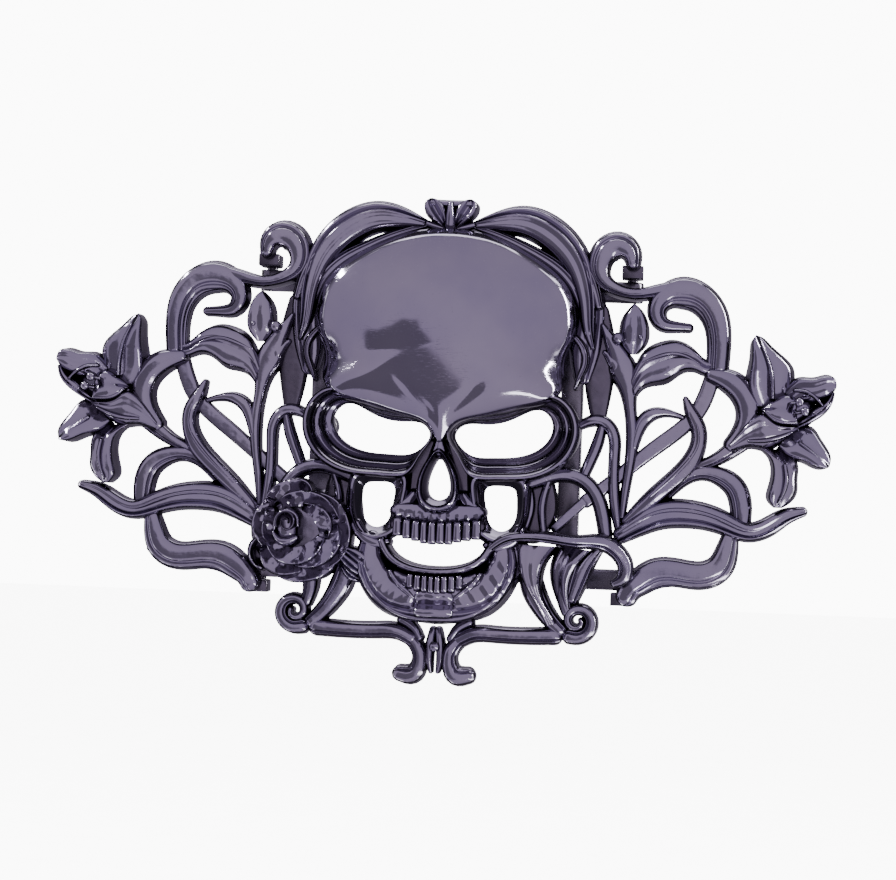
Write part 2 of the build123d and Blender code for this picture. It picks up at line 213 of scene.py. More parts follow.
# ---------------------------------------------------------------- curves
def spline(points, samples, closed=False):
    """A smooth cubic curve through rows of numbers, whose first two columns are x and z."""
    rows = np.array(points, float)
    if closed:
        rows = np.vstack([rows, rows[:1]])
    step = np.linalg.norm(np.diff(rows[:, :2], axis=0), axis=1)
    at = np.concatenate([[0.0], np.cumsum(step)])
    n = len(rows)
    matrix = np.zeros((n, n))
    right = np.zeros_like(rows)
    for i in range(1, n - 1):
        before, after = step[i - 1], step[i]
        matrix[i, i - 1 : i + 2] = before, 2 * (before + after), after
        right[i] = 6 * ((rows[i + 1] - rows[i]) / after - (rows[i] - rows[i - 1]) / before)
    if closed:
        before, after = step[-1], step[0]
        matrix[0, 0], matrix[0, -1] = 1, -1
        matrix[-1, 0], matrix[-1, 1], matrix[-1, -2] = 2 * (before + after), after, before
        right[-1] = 6 * ((rows[1] - rows[0]) / after - (rows[-1] - rows[-2]) / before)
    else:
        matrix[0, 0] = matrix[-1, -1] = 1
    bend = np.linalg.solve(matrix, right)
    where = np.linspace(0, at[-1], samples, endpoint=not closed)
    span = np.clip(np.searchsorted(at, where, side="right") - 1, 0, n - 2)
    h = step[span][:, None]
    b = (where - at[span])[:, None] / h
    a = 1 - b
    cubic = ((a**3 - a) * bend[span] + (b**3 - b) * bend[span + 1]) * h**2 / 6
    return a * rows[span] + b * rows[span + 1] + cubic


def length_of(points):
    return float(np.linalg.norm(np.diff(np.array(points, float)[:, :2], axis=0), axis=1).sum())


# ---------------------------------------------------------------- cross sections
# How much wider a band's foot is than its face, as a share of its half width.
FLARE = 0.2


def section(wall=0.45, fullness=2.6, grooves=(), lean=0.0, count=26):
    """A band's cross section from foot to foot over the crest, as (across, up) from -1 to 1 and 0 to 1.
    Each groove is (place across, width, depth). A lean moves the crest to one side."""
    turn = np.linspace(0, math.pi, count)
    u = -np.cos(turn)
    reach = np.where(u > lean, 1 - lean, 1 + lean)
    v = wall + (1 - wall) * np.sqrt(np.clip(1 - np.abs((u - lean) / reach) ** fullness, 0, 1))
    for place, width, depth in grooves:
        v = v - depth * np.exp(-(((u - place) / width) ** 2))
    profile = np.column_stack([u, v])
    flank = np.array([[-1 - FLARE, 0.0], [-1 - FLARE * 0.7, wall * 0.35], [-1 - FLARE * 0.25, wall * 0.8]])
    return np.vstack([flank, profile, flank[::-1] * np.array([-1, 1])])


ROUND = section(wall=0.68, fullness=2.5)
FLAT = section(wall=0.86, fullness=6.0)
TWIN = section(wall=0.70, fullness=2.8, grooves=[(-0.50, 0.11, 0.12)], lean=0.15, count=30)
RIDGED = section(wall=0.70, fullness=2.8, grooves=[(-0.54, 0.10, 0.13), (0.08, 0.22, 0.05)], count=32)
LEAF = section(wall=0.72, fullness=2.8, grooves=[(-0.05, 0.18, 0.09)], lean=0.2)
PETAL = section(wall=0.78, fullness=2.6, grooves=[(-0.25, 0.30, 0.06)], lean=0.25, count=30)
CUPPED = section(wall=0.78, fullness=4.0, grooves=[(0.0, 0.45, 0.22)], count=32)


# ---------------------------------------------------------------- mesh making
def deselect():
    if bpy.context.object and bpy.context.object.mode != "OBJECT":
        bpy.ops.object.mode_set(mode="OBJECT")
    bpy.ops.object.select_all(action="DESELECT")


def make_active(obj):
    deselect()
    obj.select_set(True)
    bpy.context.view_layer.objects.active = obj


def skin(name, rings, closed_along=False):
    """Lays a fresh grid over rings of points, in millimetres, and closes its seam and its ends."""
    rings = np.asarray(rings, float)
    along, around = rings.shape[:2]
    if closed_along:
        rings = np.concatenate([rings, rings[:1]])
    rings = np.concatenate([rings, rings[:, :1]], axis=1)
    deselect()
    bpy.ops.mesh.primitive_grid_add(
        x_subdivisions=rings.shape[1] - 1, y_subdivisions=rings.shape[0] - 1, size=1, location=(0, 0, 0)
    )
    obj = bpy.context.object
    obj.name = name
    obj.data.name = name
    places = rings.reshape(-1, 3) * np.array([ACROSS, 1, UPRIGHT]) * MM
    obj.data.vertices.foreach_set("co", places.ravel())
    bpy.ops.object.mode_set(mode="EDIT")
    bpy.ops.mesh.select_all(action="SELECT")
    bpy.ops.mesh.remove_doubles(threshold=0.000004)
    bpy.ops.mesh.select_all(action="DESELECT")
    bpy.ops.mesh.select_mode(type="EDGE")
    bpy.ops.mesh.select_non_manifold(
        extend=False, use_wire=False, use_multi_face=False, use_non_contiguous=False
    )
    bpy.ops.mesh.fill_holes(sides=0)
    bpy.ops.mesh.select_all(action="SELECT")
    bpy.ops.mesh.normals_make_consistent(inside=False)
    bpy.ops.object.mode_set(mode="OBJECT")
    return obj


# Bands and blades overlap, so each one's back stands forward of the back plane by a step of its own.
BACK_PLAY = 0.2
GOLDEN_SHARE = 0.618034
back_steps = (BACK_PLAY * (step * GOLDEN_SHARE % 1.0) for step in itertools.count())

# A band's rounded end: the turns of its rings, and how high the crest still is at the very tip.
END_TURNS = np.radians([2, 14, 28, 44, 62, 78])
TIP_HEIGHT = 0.62


def band(name, stations, shape, depth, back=0.0, side=1, spacing=0.4):
    """A tapered band along a middle line. A station is (x, z, half width, share of the depth)."""
    rows = [tuple(s) + (1.0,) * (4 - len(s)) for s in stations]
    back += next(back_steps)
    samples = max(8, int(length_of(rows) / spacing))
    path = spline(rows, samples)
    middle, half, share = path[:, :2], path[:, 2], path[:, 3]
    ahead = np.gradient(middle, axis=0)
    ahead /= np.linalg.norm(ahead, axis=1)[:, None]

    def rounded_end(i, turns, way):
        reach = way * half[i]
        return [
            (middle[i] + ahead[i] * reach * math.cos(t), half[i] * math.sin(t), ahead[i], share[i], t)
            for t in turns
        ]

    body = [
        (point, width, along, height, math.pi / 2)
        for point, width, along, height in zip(middle, half, ahead, share)
    ]
    stretch = rounded_end(0, END_TURNS, -1) + body + rounded_end(-1, END_TURNS[::-1], 1)
    rings = []
    for point, width, direction, height, turn in stretch:
        across = np.array([-direction[1], direction[0]])
        crest = height * (TIP_HEIGHT + (1 - TIP_HEIGHT) * math.sin(turn))
        ring = np.empty((len(shape), 3))
        ring[:, 0] = (point[0] + across[0] * shape[:, 0] * width) * side
        ring[:, 1] = -(back + shape[:, 1] * crest * (depth - back))
        ring[:, 2] = point[1] + across[1] * shape[:, 0] * width
        ring[shape[:, 1] == 0, 1] = -back
        rings.append(ring)
    return skin(name, rings)


def blade(
    name, edge, other_edge, shape, depth, back=0.0, side=1, tilt=0.0, rise=(1.0, 1.0, 1.0), spacing=0.35
):
    """A petal between two drawn edges that run the same way. Its rise is its share of the depth."""
    samples = max(12, int(max(length_of(edge), length_of(other_edge)) / spacing))
    back += next(back_steps)
    one = spline(edge, samples)[:, :2]
    other = spline(other_edge, samples)[:, :2]
    heights = np.interp(np.linspace(0, 1, samples), np.linspace(0, 1, len(rise)), rise)
    rings = []
    share = (shape[:, 0:1] + 1) / 2
    for near, far, height in zip(one, other, heights):
        flat = near * (1 - share) + far * share
        up = shape[:, 1] * height * (1 + tilt * shape[:, 0])
        rings.append(np.column_stack([flat[:, 0] * side, -(back + up * (depth - back)), flat[:, 1]]))
    return skin(name, rings)


def rim(name, outer, inner, profile, side=1, samples=110):
    """A ring round an opening. Its profile is (share, depth), with share 0 outside and 1 inside."""
    outside = spline(outer, samples, closed=True)[:, :2]
    inside = spline(inner, samples, closed=True)[:, :2]
    rings = []
    for share, depth in profile:
        flat = outside * (1 - share) + inside * share
        rings.append(np.column_stack([flat[:, 0] * side, np.full(samples, -depth), flat[:, 1]]))
    return skin(name, rings, closed_along=True)


def sculpt(obj, change):
    """Moves each vertex's depth by change(x, depth, z), all in millimetres."""
    places = np.empty(len(obj.data.vertices) * 3)
    obj.data.vertices.foreach_get("co", places)
    places = places.reshape(-1, 3) / MM
    places[:, 1] = -change(places[:, 0], -places[:, 1], places[:, 2])
    obj.data.vertices.foreach_set("co", (places * MM).ravel())
    obj.data.update()
    return obj


def bump(x, z, middle_x, middle_z, reach_x, reach_z, height):
    """A soft swelling round a middle, or a dent when its height is negative."""
    return height * np.exp(-(((x - middle_x) / reach_x) ** 2) - ((z - middle_z) / reach_z) ** 2)


def eased_step(value):
    """0 below 0, 1 above 1, and a smooth S between."""
    value = np.clip(value, 0, 1)
    return value * value * (3 - 2 * value)


def mirrored(half, *middle):
    """Stations for both sides, from those of the right side and the ones in the middle."""
    return [(-x, *rest) for x, *rest in half] + list(middle) + half[::-1]


def joined(name, objects):
    """Joins objects into one piece."""
    deselect()
    for obj in objects:
        obj.select_set(True)
    bpy.context.view_layer.objects.active = objects[0]
    if len(objects) > 1:
        bpy.ops.object.join()
    whole = bpy.context.object
    whole.name = name
    whole.data.name = name
    return whole


def ball(name, x, z, depth, radius, squash=(1, 1, 1)):
    """A bead, berry or anther."""
    deselect()
    place = (x * ACROSS * MM, -depth * MM, z * UPRIGHT * MM)
    bpy.ops.mesh.primitive_uv_sphere_add(segments=28, ring_count=16, radius=radius * MM, location=place)
    obj = bpy.context.object
    obj.name = name
    obj.scale = squash
    bpy.ops.object.transform_apply(location=True, rotation=True, scale=True)
    return obj


def smooth(obj, angle=38):
    make_active(obj)
    bpy.ops.object.shade_smooth_by_angle(angle=math.radians(angle), keep_sharp_edges=False)


def darken(obj, strength=1.0):
    """Marks a part that lies deep in a hollow, to be painted dark there as shade."""
    mark = obj.data.attributes.new("hollow", "FLOAT", "POINT")
    mark.data.foreach_set("value", np.full(len(obj.data.vertices), strength, np.float32))
    return obj


# A point that faces the front by less than the first share starts to be painted dark as side wall in shade.
# It is painted dark in full where it faces the front by the second share less than that.
FACE_ENDS = 0.62
FACE_FADE = 0.5


def mark_painted_shade(obj):
    """Writes each point's share of painted shade as the piece's attribute: side walls, which face neither
    front nor back, and parts marked as lying deep in a hollow.
    """
    mesh = obj.data
    normal = np.empty(len(mesh.vertices) * 3)
    mesh.vertices.foreach_get("normal", normal)
    facing = np.abs(normal.reshape(-1, 3)[:, 1])
    share = eased_step((FACE_ENDS - facing) / FACE_FADE)
    hollow = mesh.attributes.get("hollow")
    if hollow:
        deep = np.empty(len(share), np.float32)
        hollow.data.foreach_get("value", deep)
        share = np.maximum(share, deep)
        mesh.attributes.remove(hollow)
    mark = mesh.attributes.get("painted_shade") or mesh.attributes.new("painted_shade", "FLOAT", "POINT")
    mark.data.foreach_set("value", share.astype(np.float32))


def finish_piece(obj, body, nodes, material, angle=38):
    """Smooths the piece, gives it its material, ties it to its body, and hides the CAD nodes it stands for.
    """
    smooth(obj, angle)
    mark_painted_shade(obj)
    obj.data.materials.clear()
    obj.data.materials.append(material)
    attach(obj, body)
    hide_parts(*nodes)


# ---------------------------------------------------------------- materials
def noise_pattern(tree, vector, scale, detail=2.0, rough=0.5):
    """The value of a noise pattern on the given coordinates."""
    node = tree.nodes.new("ShaderNodeTexNoise")
    node.inputs["Scale"].default_value = scale
    node.inputs["Detail"].default_value = detail
    node.inputs["Roughness"].default_value = rough
    tree.links.new(vector, node.inputs["Vector"])
    return node.outputs["Fac"]


def remapped(tree, source, low, high, to_low=0.0, to_high=1.0):
    """A value stretched from one range to another, and held at its ends."""
    node = tree.nodes.new("ShaderNodeMapRange")
    node.inputs["From Min"].default_value = low
    node.inputs["From Max"].default_value = high
    node.inputs["To Min"].default_value = to_low
    node.inputs["To Max"].default_value = to_high
    tree.links.new(source, node.inputs["Value"])
    return node.outputs["Result"]


def maths(tree, operation, *terms):
    """The result of a math node. A term is a number or another node's output."""
    node = tree.nodes.new("ShaderNodeMath")
    node.operation = operation
    for socket, term in zip(node.inputs, terms):
        if isinstance(term, (int, float)):
            socket.default_value = term
        else:
            tree.links.new(term, socket)
    return node.outputs[0]


def mixed_colour(tree, factor, first, second):
    """A colour between two. Each is a plain colour or another node's output."""
    node = tree.nodes.new("ShaderNodeMix")
    node.data_type = "RGBA"
    # Inputs 6 and 7 and output 2 are the colours: those before them are for numbers and vectors.
    for socket, value in ((node.inputs[0], factor), (node.inputs[6], first), (node.inputs[7], second)):
        if isinstance(value, tuple):
            socket.default_value = value
        else:
            tree.links.new(value, socket)
    return node.outputs[2]


def scaled(tree, vector, factor):
    """A colour or vector times a value."""
    node = tree.nodes.new("ShaderNodeVectorMath")
    node.operation = "SCALE"
    tree.links.new(vector, node.inputs[0])
    tree.links.new(factor, node.inputs["Scale"])
    return node.outputs[0]


def group_input(group, name, kind, default):
    socket = group.interface.new_socket(name=name, in_out="INPUT", socket_type=kind)
    socket.default_value = default


# The plate clouds towards the first tint. The second colours what it reflects when seen at a slant.
WARM_TINT = (0.62, 0.58, 0.60, 1)
SLANT_TINT = (0.40, 0.39, 0.42, 1)


def plate_group():
    """Colour, roughness and normal of polished plate: cloudy tint, painted shade on side walls and in
    hollows, dust specks, fine scratches, peel.
    """
    name = "PolishedPlate"
    if name in bpy.data.node_groups:
        return bpy.data.node_groups[name]
    group = bpy.data.node_groups.new(name, "ShaderNodeTree")
    group_input(group, "Plate", "NodeSocketColor", (0.4, 0.4, 0.4, 1))
    # The second colour and its mask are painted shade.
    group_input(group, "Painted Shade", "NodeSocketColor", (0.03, 0.03, 0.03, 1))
    group_input(group, "Painted Shade Mask", "NodeSocketFloat", 0.0)
    group_input(group, "Polish", "NodeSocketFloat", 0.1)
    group_input(group, "Peel", "NodeSocketFloat", 0.1)
    group_input(group, "Wear", "NodeSocketFloat", 0.5)
    for out, kind in (
        ("Colour", "NodeSocketColor"), ("Roughness", "NodeSocketFloat"), ("Normal", "NodeSocketVector")
    ):
        group.interface.new_socket(name=out, in_out="OUTPUT", socket_type=kind)
    nodes, links = group.nodes, group.links
    given = nodes.new("NodeGroupInput").outputs
    result = nodes.new("NodeGroupOutput").inputs
    place = nodes.new("ShaderNodeTexCoord").outputs["Object"]
    brush = nodes.new("ShaderNodeMapping")
    brush.inputs["Scale"].default_value = (1.0, 1.0, 9.0)
    brush.inputs["Rotation"].default_value = (0.0, 0.6, 0.2)
    links.new(place, brush.inputs["Vector"])

    cloud = noise_pattern(group, place, 90, 3)
    speck = noise_pattern(group, place, 2600, 2, 0.7)
    smudge = noise_pattern(group, place, 230, 4, 0.6)
    peel = noise_pattern(group, place, 420, 2)
    scratch = noise_pattern(group, brush.outputs["Vector"], 900, 3)
    thin_line = remapped(group, scratch, 0.60, 0.72)

    tint = mixed_colour(group, remapped(group, cloud, 0.35, 0.65, 0.0, 0.22), given["Plate"], WARM_TINT)
    # Painted shade mask, with random dust specks added and, where there is shade, made uneven by smudges.
    shade_and_dust = maths(group, "ADD", given["Painted Shade Mask"], remapped(group, speck, 0.66, 0.80, 0.0, 0.20))
    uneven_shade = maths(group, "MULTIPLY", remapped(group, smudge, 0.3, 0.7, -0.12, 0.12), given["Painted Shade Mask"])
    mask = nodes.new("ShaderNodeClamp")
    links.new(maths(group, "ADD", shade_and_dust, uneven_shade), mask.inputs["Value"])
    links.new(mixed_colour(group, mask.outputs[0], tint, given["Painted Shade"]), result["Colour"])

    wear = maths(group, "MULTIPLY", given["Wear"], remapped(group, smudge, 0.4, 0.75, 0.0, 0.16))
    lines = maths(group, "MULTIPLY", given["Wear"], maths(group, "MULTIPLY", thin_line, 0.10))
    rough = maths(group, "ADD", maths(group, "ADD", given["Polish"], wear), lines)
    dull = maths(group, "MULTIPLY", given["Painted Shade Mask"], 0.10)
    links.new(maths(group, "ADD", rough, dull), result["Roughness"])

    ripple = maths(group, "MULTIPLY", peel, given["Peel"])
    raised = nodes.new("ShaderNodeBump")
    raised.inputs["Strength"].default_value = 0.35
    raised.inputs["Distance"].default_value = 0.0003
    links.new(
        maths(group, "ADD", ripple, maths(group, "MULTIPLY", thin_line, -0.02)), raised.inputs["Height"]
    )
    links.new(raised.outputs["Normal"], result["Normal"])
    return group


def plated(name, plate, painted_shade, polish, peel, wear, masked=True):
    """A metal of its own, with the shared plate effects set to its values."""
    if name in bpy.data.materials:
        return bpy.data.materials[name]
    material = bpy.data.materials.new(name)
    material.use_nodes = True
    nodes, links = material.node_tree.nodes, material.node_tree.links
    shader = nodes["Principled BSDF"]
    shader.inputs["Metallic"].default_value = 1.0
    effect = nodes.new("ShaderNodeGroup")
    effect.node_tree = plate_group()
    effect.inputs["Plate"].default_value = (*plate, 1)
    effect.inputs["Painted Shade"].default_value = (*painted_shade, 1)
    effect.inputs["Polish"].default_value = polish
    effect.inputs["Peel"].default_value = peel
    effect.inputs["Wear"].default_value = wear
    # The attribute holds each point's share of painted shade.
    if masked:
        mark = nodes.new("ShaderNodeAttribute")
        mark.attribute_name = "painted_shade"
        links.new(mark.outputs["Fac"], effect.inputs["Painted Shade Mask"])
    links.new(effect.outputs["Colour"], shader.inputs["Base Color"])
    shader.inputs["Specular Tint"].default_value = SLANT_TINT
    links.new(effect.outputs["Roughness"], shader.inputs["Roughness"])
    links.new(effect.outputs["Normal"], shader.inputs["Normal"])
    return material


def skull_plate():
    finish = bpy.context.scene.buckle_finish
    return plated(
        "Skull_black_chrome", finish.plate_colour, finish.painted_shade_colour, finish.polish * 0.7, 0.05, 0.35
    )


def foliage_plate():
    finish = bpy.context.scene.buckle_finish
    return plated(
        "Foliage_black_chrome", finish.plate_colour, finish.painted_shade_colour, finish.polish, 0.55, 0.6
    )


def fitting_plate():
    finish = bpy.context.scene.buckle_finish
    return plated(
        "Fitting_tumbled_plate", finish.fitting_colour, finish.painted_shade_colour, 0.22, 0.3, 1.0, masked=False
    )


def pin_steel():
    finish = bpy.context.scene.buckle_finish
    return plated("Pin_plated_steel", finish.pin_colour, finish.painted_shade_colour, 0.26, 0.1, 1.2, masked=False)


def cast_skull(piece, node, angle=38):
    finish_piece(piece, "casting", [node], skull_plate(), angle)


def cast_foliage(piece, node, angle=38):
    finish_piece(piece, "casting", [node], foliage_plate(), angle)


# ---------------------------------------------------------------- the skull
# Outlines are (x, z). A half outline is the right half, from the middle line round to it again.
CRANIUM_HALF = [
    (0.0, -2.6), (1.0, -1.1), (2.5, 0.8), (6.5, 1.9), (11.5, 3.2), (15.9, 4.7), (17.0, 6.8), (17.0, 10.0),
    (18.1, 13.2), (18.3, 16.8), (17.2, 20.3), (13.9, 23.6), (9.6, 26.2), (5.0, 27.8), (0.0, 28.3),
]
EYE_OUTER = [
    (1.0, -0.8), (2.6, 1.3), (6.5, 2.4), (11.5, 3.7), (16.2, 5.2), (18.9, 3.0), (19.6, -0.6), (18.0, -4.2),
    (13.4, -6.9), (8.4, -7.3), (4.4, -6.9), (2.6, -4.0),
]
EYE_HOLE = [
    (1.8, -0.9), (2.4, 0.2), (6.0, 0.8), (10.4, 1.9), (14.1, 3.0), (15.5, 1.5), (15.2, -0.9), (13.4, -2.7),
    (10.4, -3.7), (7.2, -3.9), (4.3, -3.7), (2.5, -2.4),
]
NOSE_HALF = [(0.0, -2.7), (1.5, -4.2), (2.7, -6.5), (3.1, -8.8), (2.6, -10.9), (1.2, -12.0), (0.0, -12.2)]
NOSE_HOLE_HALF = [
    (0.0, -4.3), (0.8, -5.3), (1.4, -6.9), (1.6, -8.4), (1.3, -9.6), (0.6, -10.1), (0.0, -10.2),
]


def whole_outline(half):
    """Both halves of an outline whose first and last points lie on the middle line."""
    return half + [(-x, z) for x, z in reversed(half[1:-1])]


# The dome's own shape: an oval about its middle that blends into the drawn outline towards the edge.
DOME_MIDDLE = (0.0, 12.0)
DOME_REACH = (18.2, 15.6)
DOME_BLEND_STARTS = 0.45
TEMPLE_EDGE = 6.4  # depth of the dome's edge at the crown and the temples
BROW_RISE = 3.6  # how much further forward the edge stands along the brow
BROW_TOP = 10.0
BROW_FADE = 6.0
HOLLOW_FLOOR = 0.3  # the hollow's lip stands this far forward of the back plane


def make_cranium():
    """A polished dome with a creased brow, hollow behind."""
    top = front_of("cranium") - 0.1
    wall = bpy.context.scene.buckle_shape.shell_wall / MM
    outline = spline(whole_outline(CRANIUM_HALF), 180, closed=True)[:, :2]
    middle = np.array(DOME_MIDDLE)
    edge = TEMPLE_EDGE + BROW_RISE * eased_step((BROW_TOP - outline[:, 1]) / BROW_FADE)

    out = outline - middle
    angle = np.arctan2(out[:, 1], out[:, 0])
    reach = 1 / np.sqrt((np.cos(angle) / DOME_REACH[0]) ** 2 + (np.sin(angle) / DOME_REACH[1]) ** 2)
    oval = np.column_stack([np.cos(angle), np.sin(angle)]) * reach[:, None]

    def ring(share, depth):
        blend = np.clip((share - DOME_BLEND_STARTS) / (1 - DOME_BLEND_STARTS), 0, 1) ** 1.6
        flat = middle + (oval * (1 - blend) + out * blend) * share
        return np.column_stack([flat[:, 0], -depth, flat[:, 1]])

    def dome_height(share):
        round_off = np.clip((share - 0.93) / 0.07, 0, 1)
        return edge + (top - edge) * (1 - share**2.4) - 0.8 * round_off**2

    rings = []
    for share in np.sin(np.linspace(0.01, 1, 54) * math.pi / 2):
        rings.append(ring(share, dome_height(share)))
    rings.append(ring(1.006, edge - 1.5))
    rings.append(ring(1.0, edge * 0.4))
    rings.append(ring(0.99, np.full_like(edge, HOLLOW_FLOOR)))
    for share in np.sin(np.linspace(0.9, 0.01, 24) * math.pi / 2):
        rings.append(ring(share * 0.94, np.maximum(dome_height(share) - wall, HOLLOW_FLOOR)))
    dome = skin("cast_cranium", rings)

    def carve(x, depth, z):
        """The creases of the frown and the dents at the temples, alike on both sides."""
        aside = np.sqrt(x * x + 0.36)
        front = np.clip((depth - 5) / 4, 0, 1)
        change = bump(aside, z, 9.0, 5.2, 5.0, 2.2, 0.30)
        line = (z - 0.8) - 0.98 * aside
        along = np.clip((aside - 0.2) / 1.5, 0, 1) * np.clip((7.4 - aside) / 3.0, 0, 1)
        change += -0.22 * np.exp(-((line / 1.0) ** 2)) * along
        change += bump(aside, z, 17.2, 9.4, 1.6, 2.8, -1.0)
        return depth + change * front

    return sculpt(dome, carve)


class BUCKLE_OT_cranium(bpy.types.Operator):
    """Make the cranium with its creased brow"""

    bl_idname = "buckle.cranium"
    bl_label = "Cranium"

    def execute(self, context):
        cast_skull(make_cranium(), "cranium", 60)
        return {"FINISHED"}


class BUCKLE_OT_eye_rims(bpy.types.Operator):
    """Make the slanted eye sockets with their raised rims and stepped walls"""

    bl_idname = "buckle.eye_rims"
    bl_label = "Eye rims"

    def execute(self, context):
        crest = front_of("eye_rim_left")
        profile = [
            (0.0, 1.0), (0.0, crest - 2.4), (0.02, crest - 0.8), (0.05, crest - 0.2),
            (0.11, crest + 0.25), (0.18, crest + 0.25), (0.24, crest - 0.2), (0.28, crest - 1.0),
            (0.32, crest - 2.4), (0.36, crest - 3.0), (0.46, crest - 3.3), (0.56, crest - 3.5),
            (0.62, crest - 4.0), (0.66, crest - 5.2), (0.72, crest - 5.6), (0.86, crest - 5.8),
            (0.97, crest - 6.0), (1.0, crest - 6.4), (1.0, 1.4), (0.96, 1.0),
        ]
        for name, side in (("right", 1), ("left", -1)):
            piece = rim(f"cast_eye_rim_{name}", EYE_OUTER, EYE_HOLE, profile, side, samples=150)
            cast_skull(piece, f"eye_rim_{name}", 50)
        return {"FINISHED"}


class BUCKLE_OT_nose(bpy.types.Operator):
    """Make the pointed ring round the nose opening"""

    bl_idname = "buckle.nose"
    bl_label = "Nose ring"

    def execute(self, context):
        crest = front_of("nose_ring") - 0.1
        profile = [
            (0.0, 3.0), (0.0, crest - 2.6), (0.06, crest - 1.2), (0.18, crest - 0.3), (0.34, crest),
            (0.5, crest - 0.2), (0.62, crest - 0.9), (0.74, crest - 1.8), (0.9, crest - 2.6),
            (1.0, crest - 4.0), (1.0, 3.4), (0.9, 3.0),
        ]
        ring = rim("ring", whole_outline(NOSE_HALF), whole_outline(NOSE_HOLE_HALF), profile, samples=96)
        bridge = band(
            "bridge",
            [(0, -0.4, 0.7, 0.86), (0, -1.8, 0.75, 0.88), (0, -3.2, 1.3, 0.9)],
            ROUND,
            crest,
            back=4.0,
        )
        parts = [ring, bridge]
        for side in BOTH_SIDES:
            # Low bands in the hollows beside the nose, painted dark as shade.
            hollow = [(1.3, -1.9, 0.5), (2.6, -4.9, 0.9), (3.7, -7.4, 1.2), (4.4, -10.4, 1.2)]
            parts.append(darken(band("hollow", hollow, FLAT, crest - 5.0, back=3.0, side=side)))
        piece = joined("cast_nose_ring", parts)
        cast_skull(piece, "nose_ring", 50)
        return {"FINISHED"}


CHEEK_OUTER = [
    (4.2, -6.4), (8.8, -6.2), (12.4, -6.6), (13.0, -9.8), (12.4, -13.4), (10.9, -15.8), (8.2, -16.4),
    (5.4, -15.0), (4.4, -11.0),
]
CHEEK_HOLE = [
    (6.7, -8.2), (8.7, -7.9), (10.6, -8.3), (11.0, -10.2), (10.9, -12.4), (10.0, -13.9), (8.8, -14.3),
    (7.5, -13.7), (6.7, -11.4),
]


ROOT_PITCH = 1.28


class BUCKLE_OT_upper_jaw(bpy.types.Operator):
    """Make the cheekbones round their windows and the gum above the teeth"""

    bl_idname = "buckle.upper_jaw"
    bl_label = "Upper jaw"

    def execute(self, context):
        depth = front_of("upper_jaw")
        profile = [
            (0.0, 3.0), (0.0, depth - 3.4), (0.08, depth - 2.2), (0.18, depth - 1.4), (0.30, depth - 1.1),
            (0.42, depth - 1.3), (0.52, depth - 2.2), (0.64, depth - 3.2), (1.0, depth - 4.4), (1.0, 3.4),
            (0.9, 3.0),
        ]
        pieces = [rim("cheek", CHEEK_OUTER, CHEEK_HOLE, profile, side) for side in BOTH_SIDES]
        gum = mirrored([(5.5, -11.9, 1.2, 0.82), (3.2, -12.1, 1.4, 0.93)], (0.0, -12.5, 1.4, 0.98))
        pieces.append(band("gum", gum, section(wall=0.82, fullness=2.2), depth, back=4.0))
        # A low band behind the teeth, painted dark as shade.
        behind = mirrored([(5.9, -13.6, 1.0), (3.0, -14.2, 1.1)], (0.0, -14.6, 1.1))
        pieces.append(darken(band("behind", behind, FLAT, depth - 1.6, back=3.5)))
        for side in BOTH_SIDES:
            bone = [
                (11.6, -14.0, 0.9, 0.8), (10.4, -15.7, 0.95, 0.85), (8.2, -16.6, 0.8, 0.9),
                (6.9, -16.3, 0.5, 0.85),
            ]
            pieces.append(band("bone", bone, ROUND, depth - 0.4, back=3.0, side=side))
            web = [(3.5, -9.6, 1.0, 0.8), (4.8, -11.2, 1.2, 0.9), (6.0, -11.9, 0.9, 0.9)]
            pieces.append(band("web", web, ROUND, depth - 0.5, back=3.0, side=side))
        # Low walls at the inner side of the cheek windows, painted dark as shade.
        wall = [(4.6, -6.6, 0.8), (4.9, -9.4, 0.9), (5.4, -12.0, 0.9)]
        pieces += [
            darken(band("wall", wall, ROUND, depth - 2.6, back=3.5, side=side)) for side in BOTH_SIDES
        ]
        whole = joined("cast_upper_jaw", pieces)

        def roots(x, at, z):
            """Swells the gum over each tooth's root."""
            row = np.exp(-(((z + 12.9) / 1.0) ** 2)) * (at > depth - 2.5) * (np.abs(x) < 6.6)
            return at + 0.22 * row * np.cos(2 * math.pi * (x / ROOT_PITCH - 0.5))

        sculpt(whole, roots)
        cast_skull(whole, "upper_jaw")
        return {"FINISHED"}


TOOTH_THICKNESS = 3.2


def tooth(name, x, z_top, width, height, depth, taper):
    """One tooth: a block narrowed at the gum, rounded all over."""
    deselect()
    bpy.ops.mesh.primitive_cube_add(size=1, location=(0, 0, 0))
    obj = bpy.context.object
    obj.name = name
    bpy.ops.object.mode_set(mode="EDIT")
    bpy.ops.mesh.select_all(action="SELECT")
    bpy.ops.mesh.subdivide(number_cuts=2, smoothness=0)
    bpy.ops.object.mode_set(mode="OBJECT")
    for vertex in obj.data.vertices:
        up = vertex.co.z + 0.5
        vertex.co.x *= taper + (1 - taper) * (1 - up)
        vertex.co.y *= 1.0 - 0.25 * abs(vertex.co.x * 2) ** 2
    obj.scale = (width * ACROSS * MM, TOOTH_THICKNESS * MM, height * UPRIGHT * MM)
    obj.location = (
        x * ACROSS * MM, -(depth - TOOTH_THICKNESS / 2) * MM, (z_top - height / 2) * UPRIGHT * MM
    )
    bpy.ops.object.transform_apply(location=True, rotation=True, scale=True)
    soft = obj.modifiers.new("Soft", "SUBSURF")
    soft.levels = soft.render_levels = 2
    bpy.ops.object.modifier_apply(modifier=soft.name)
    return obj


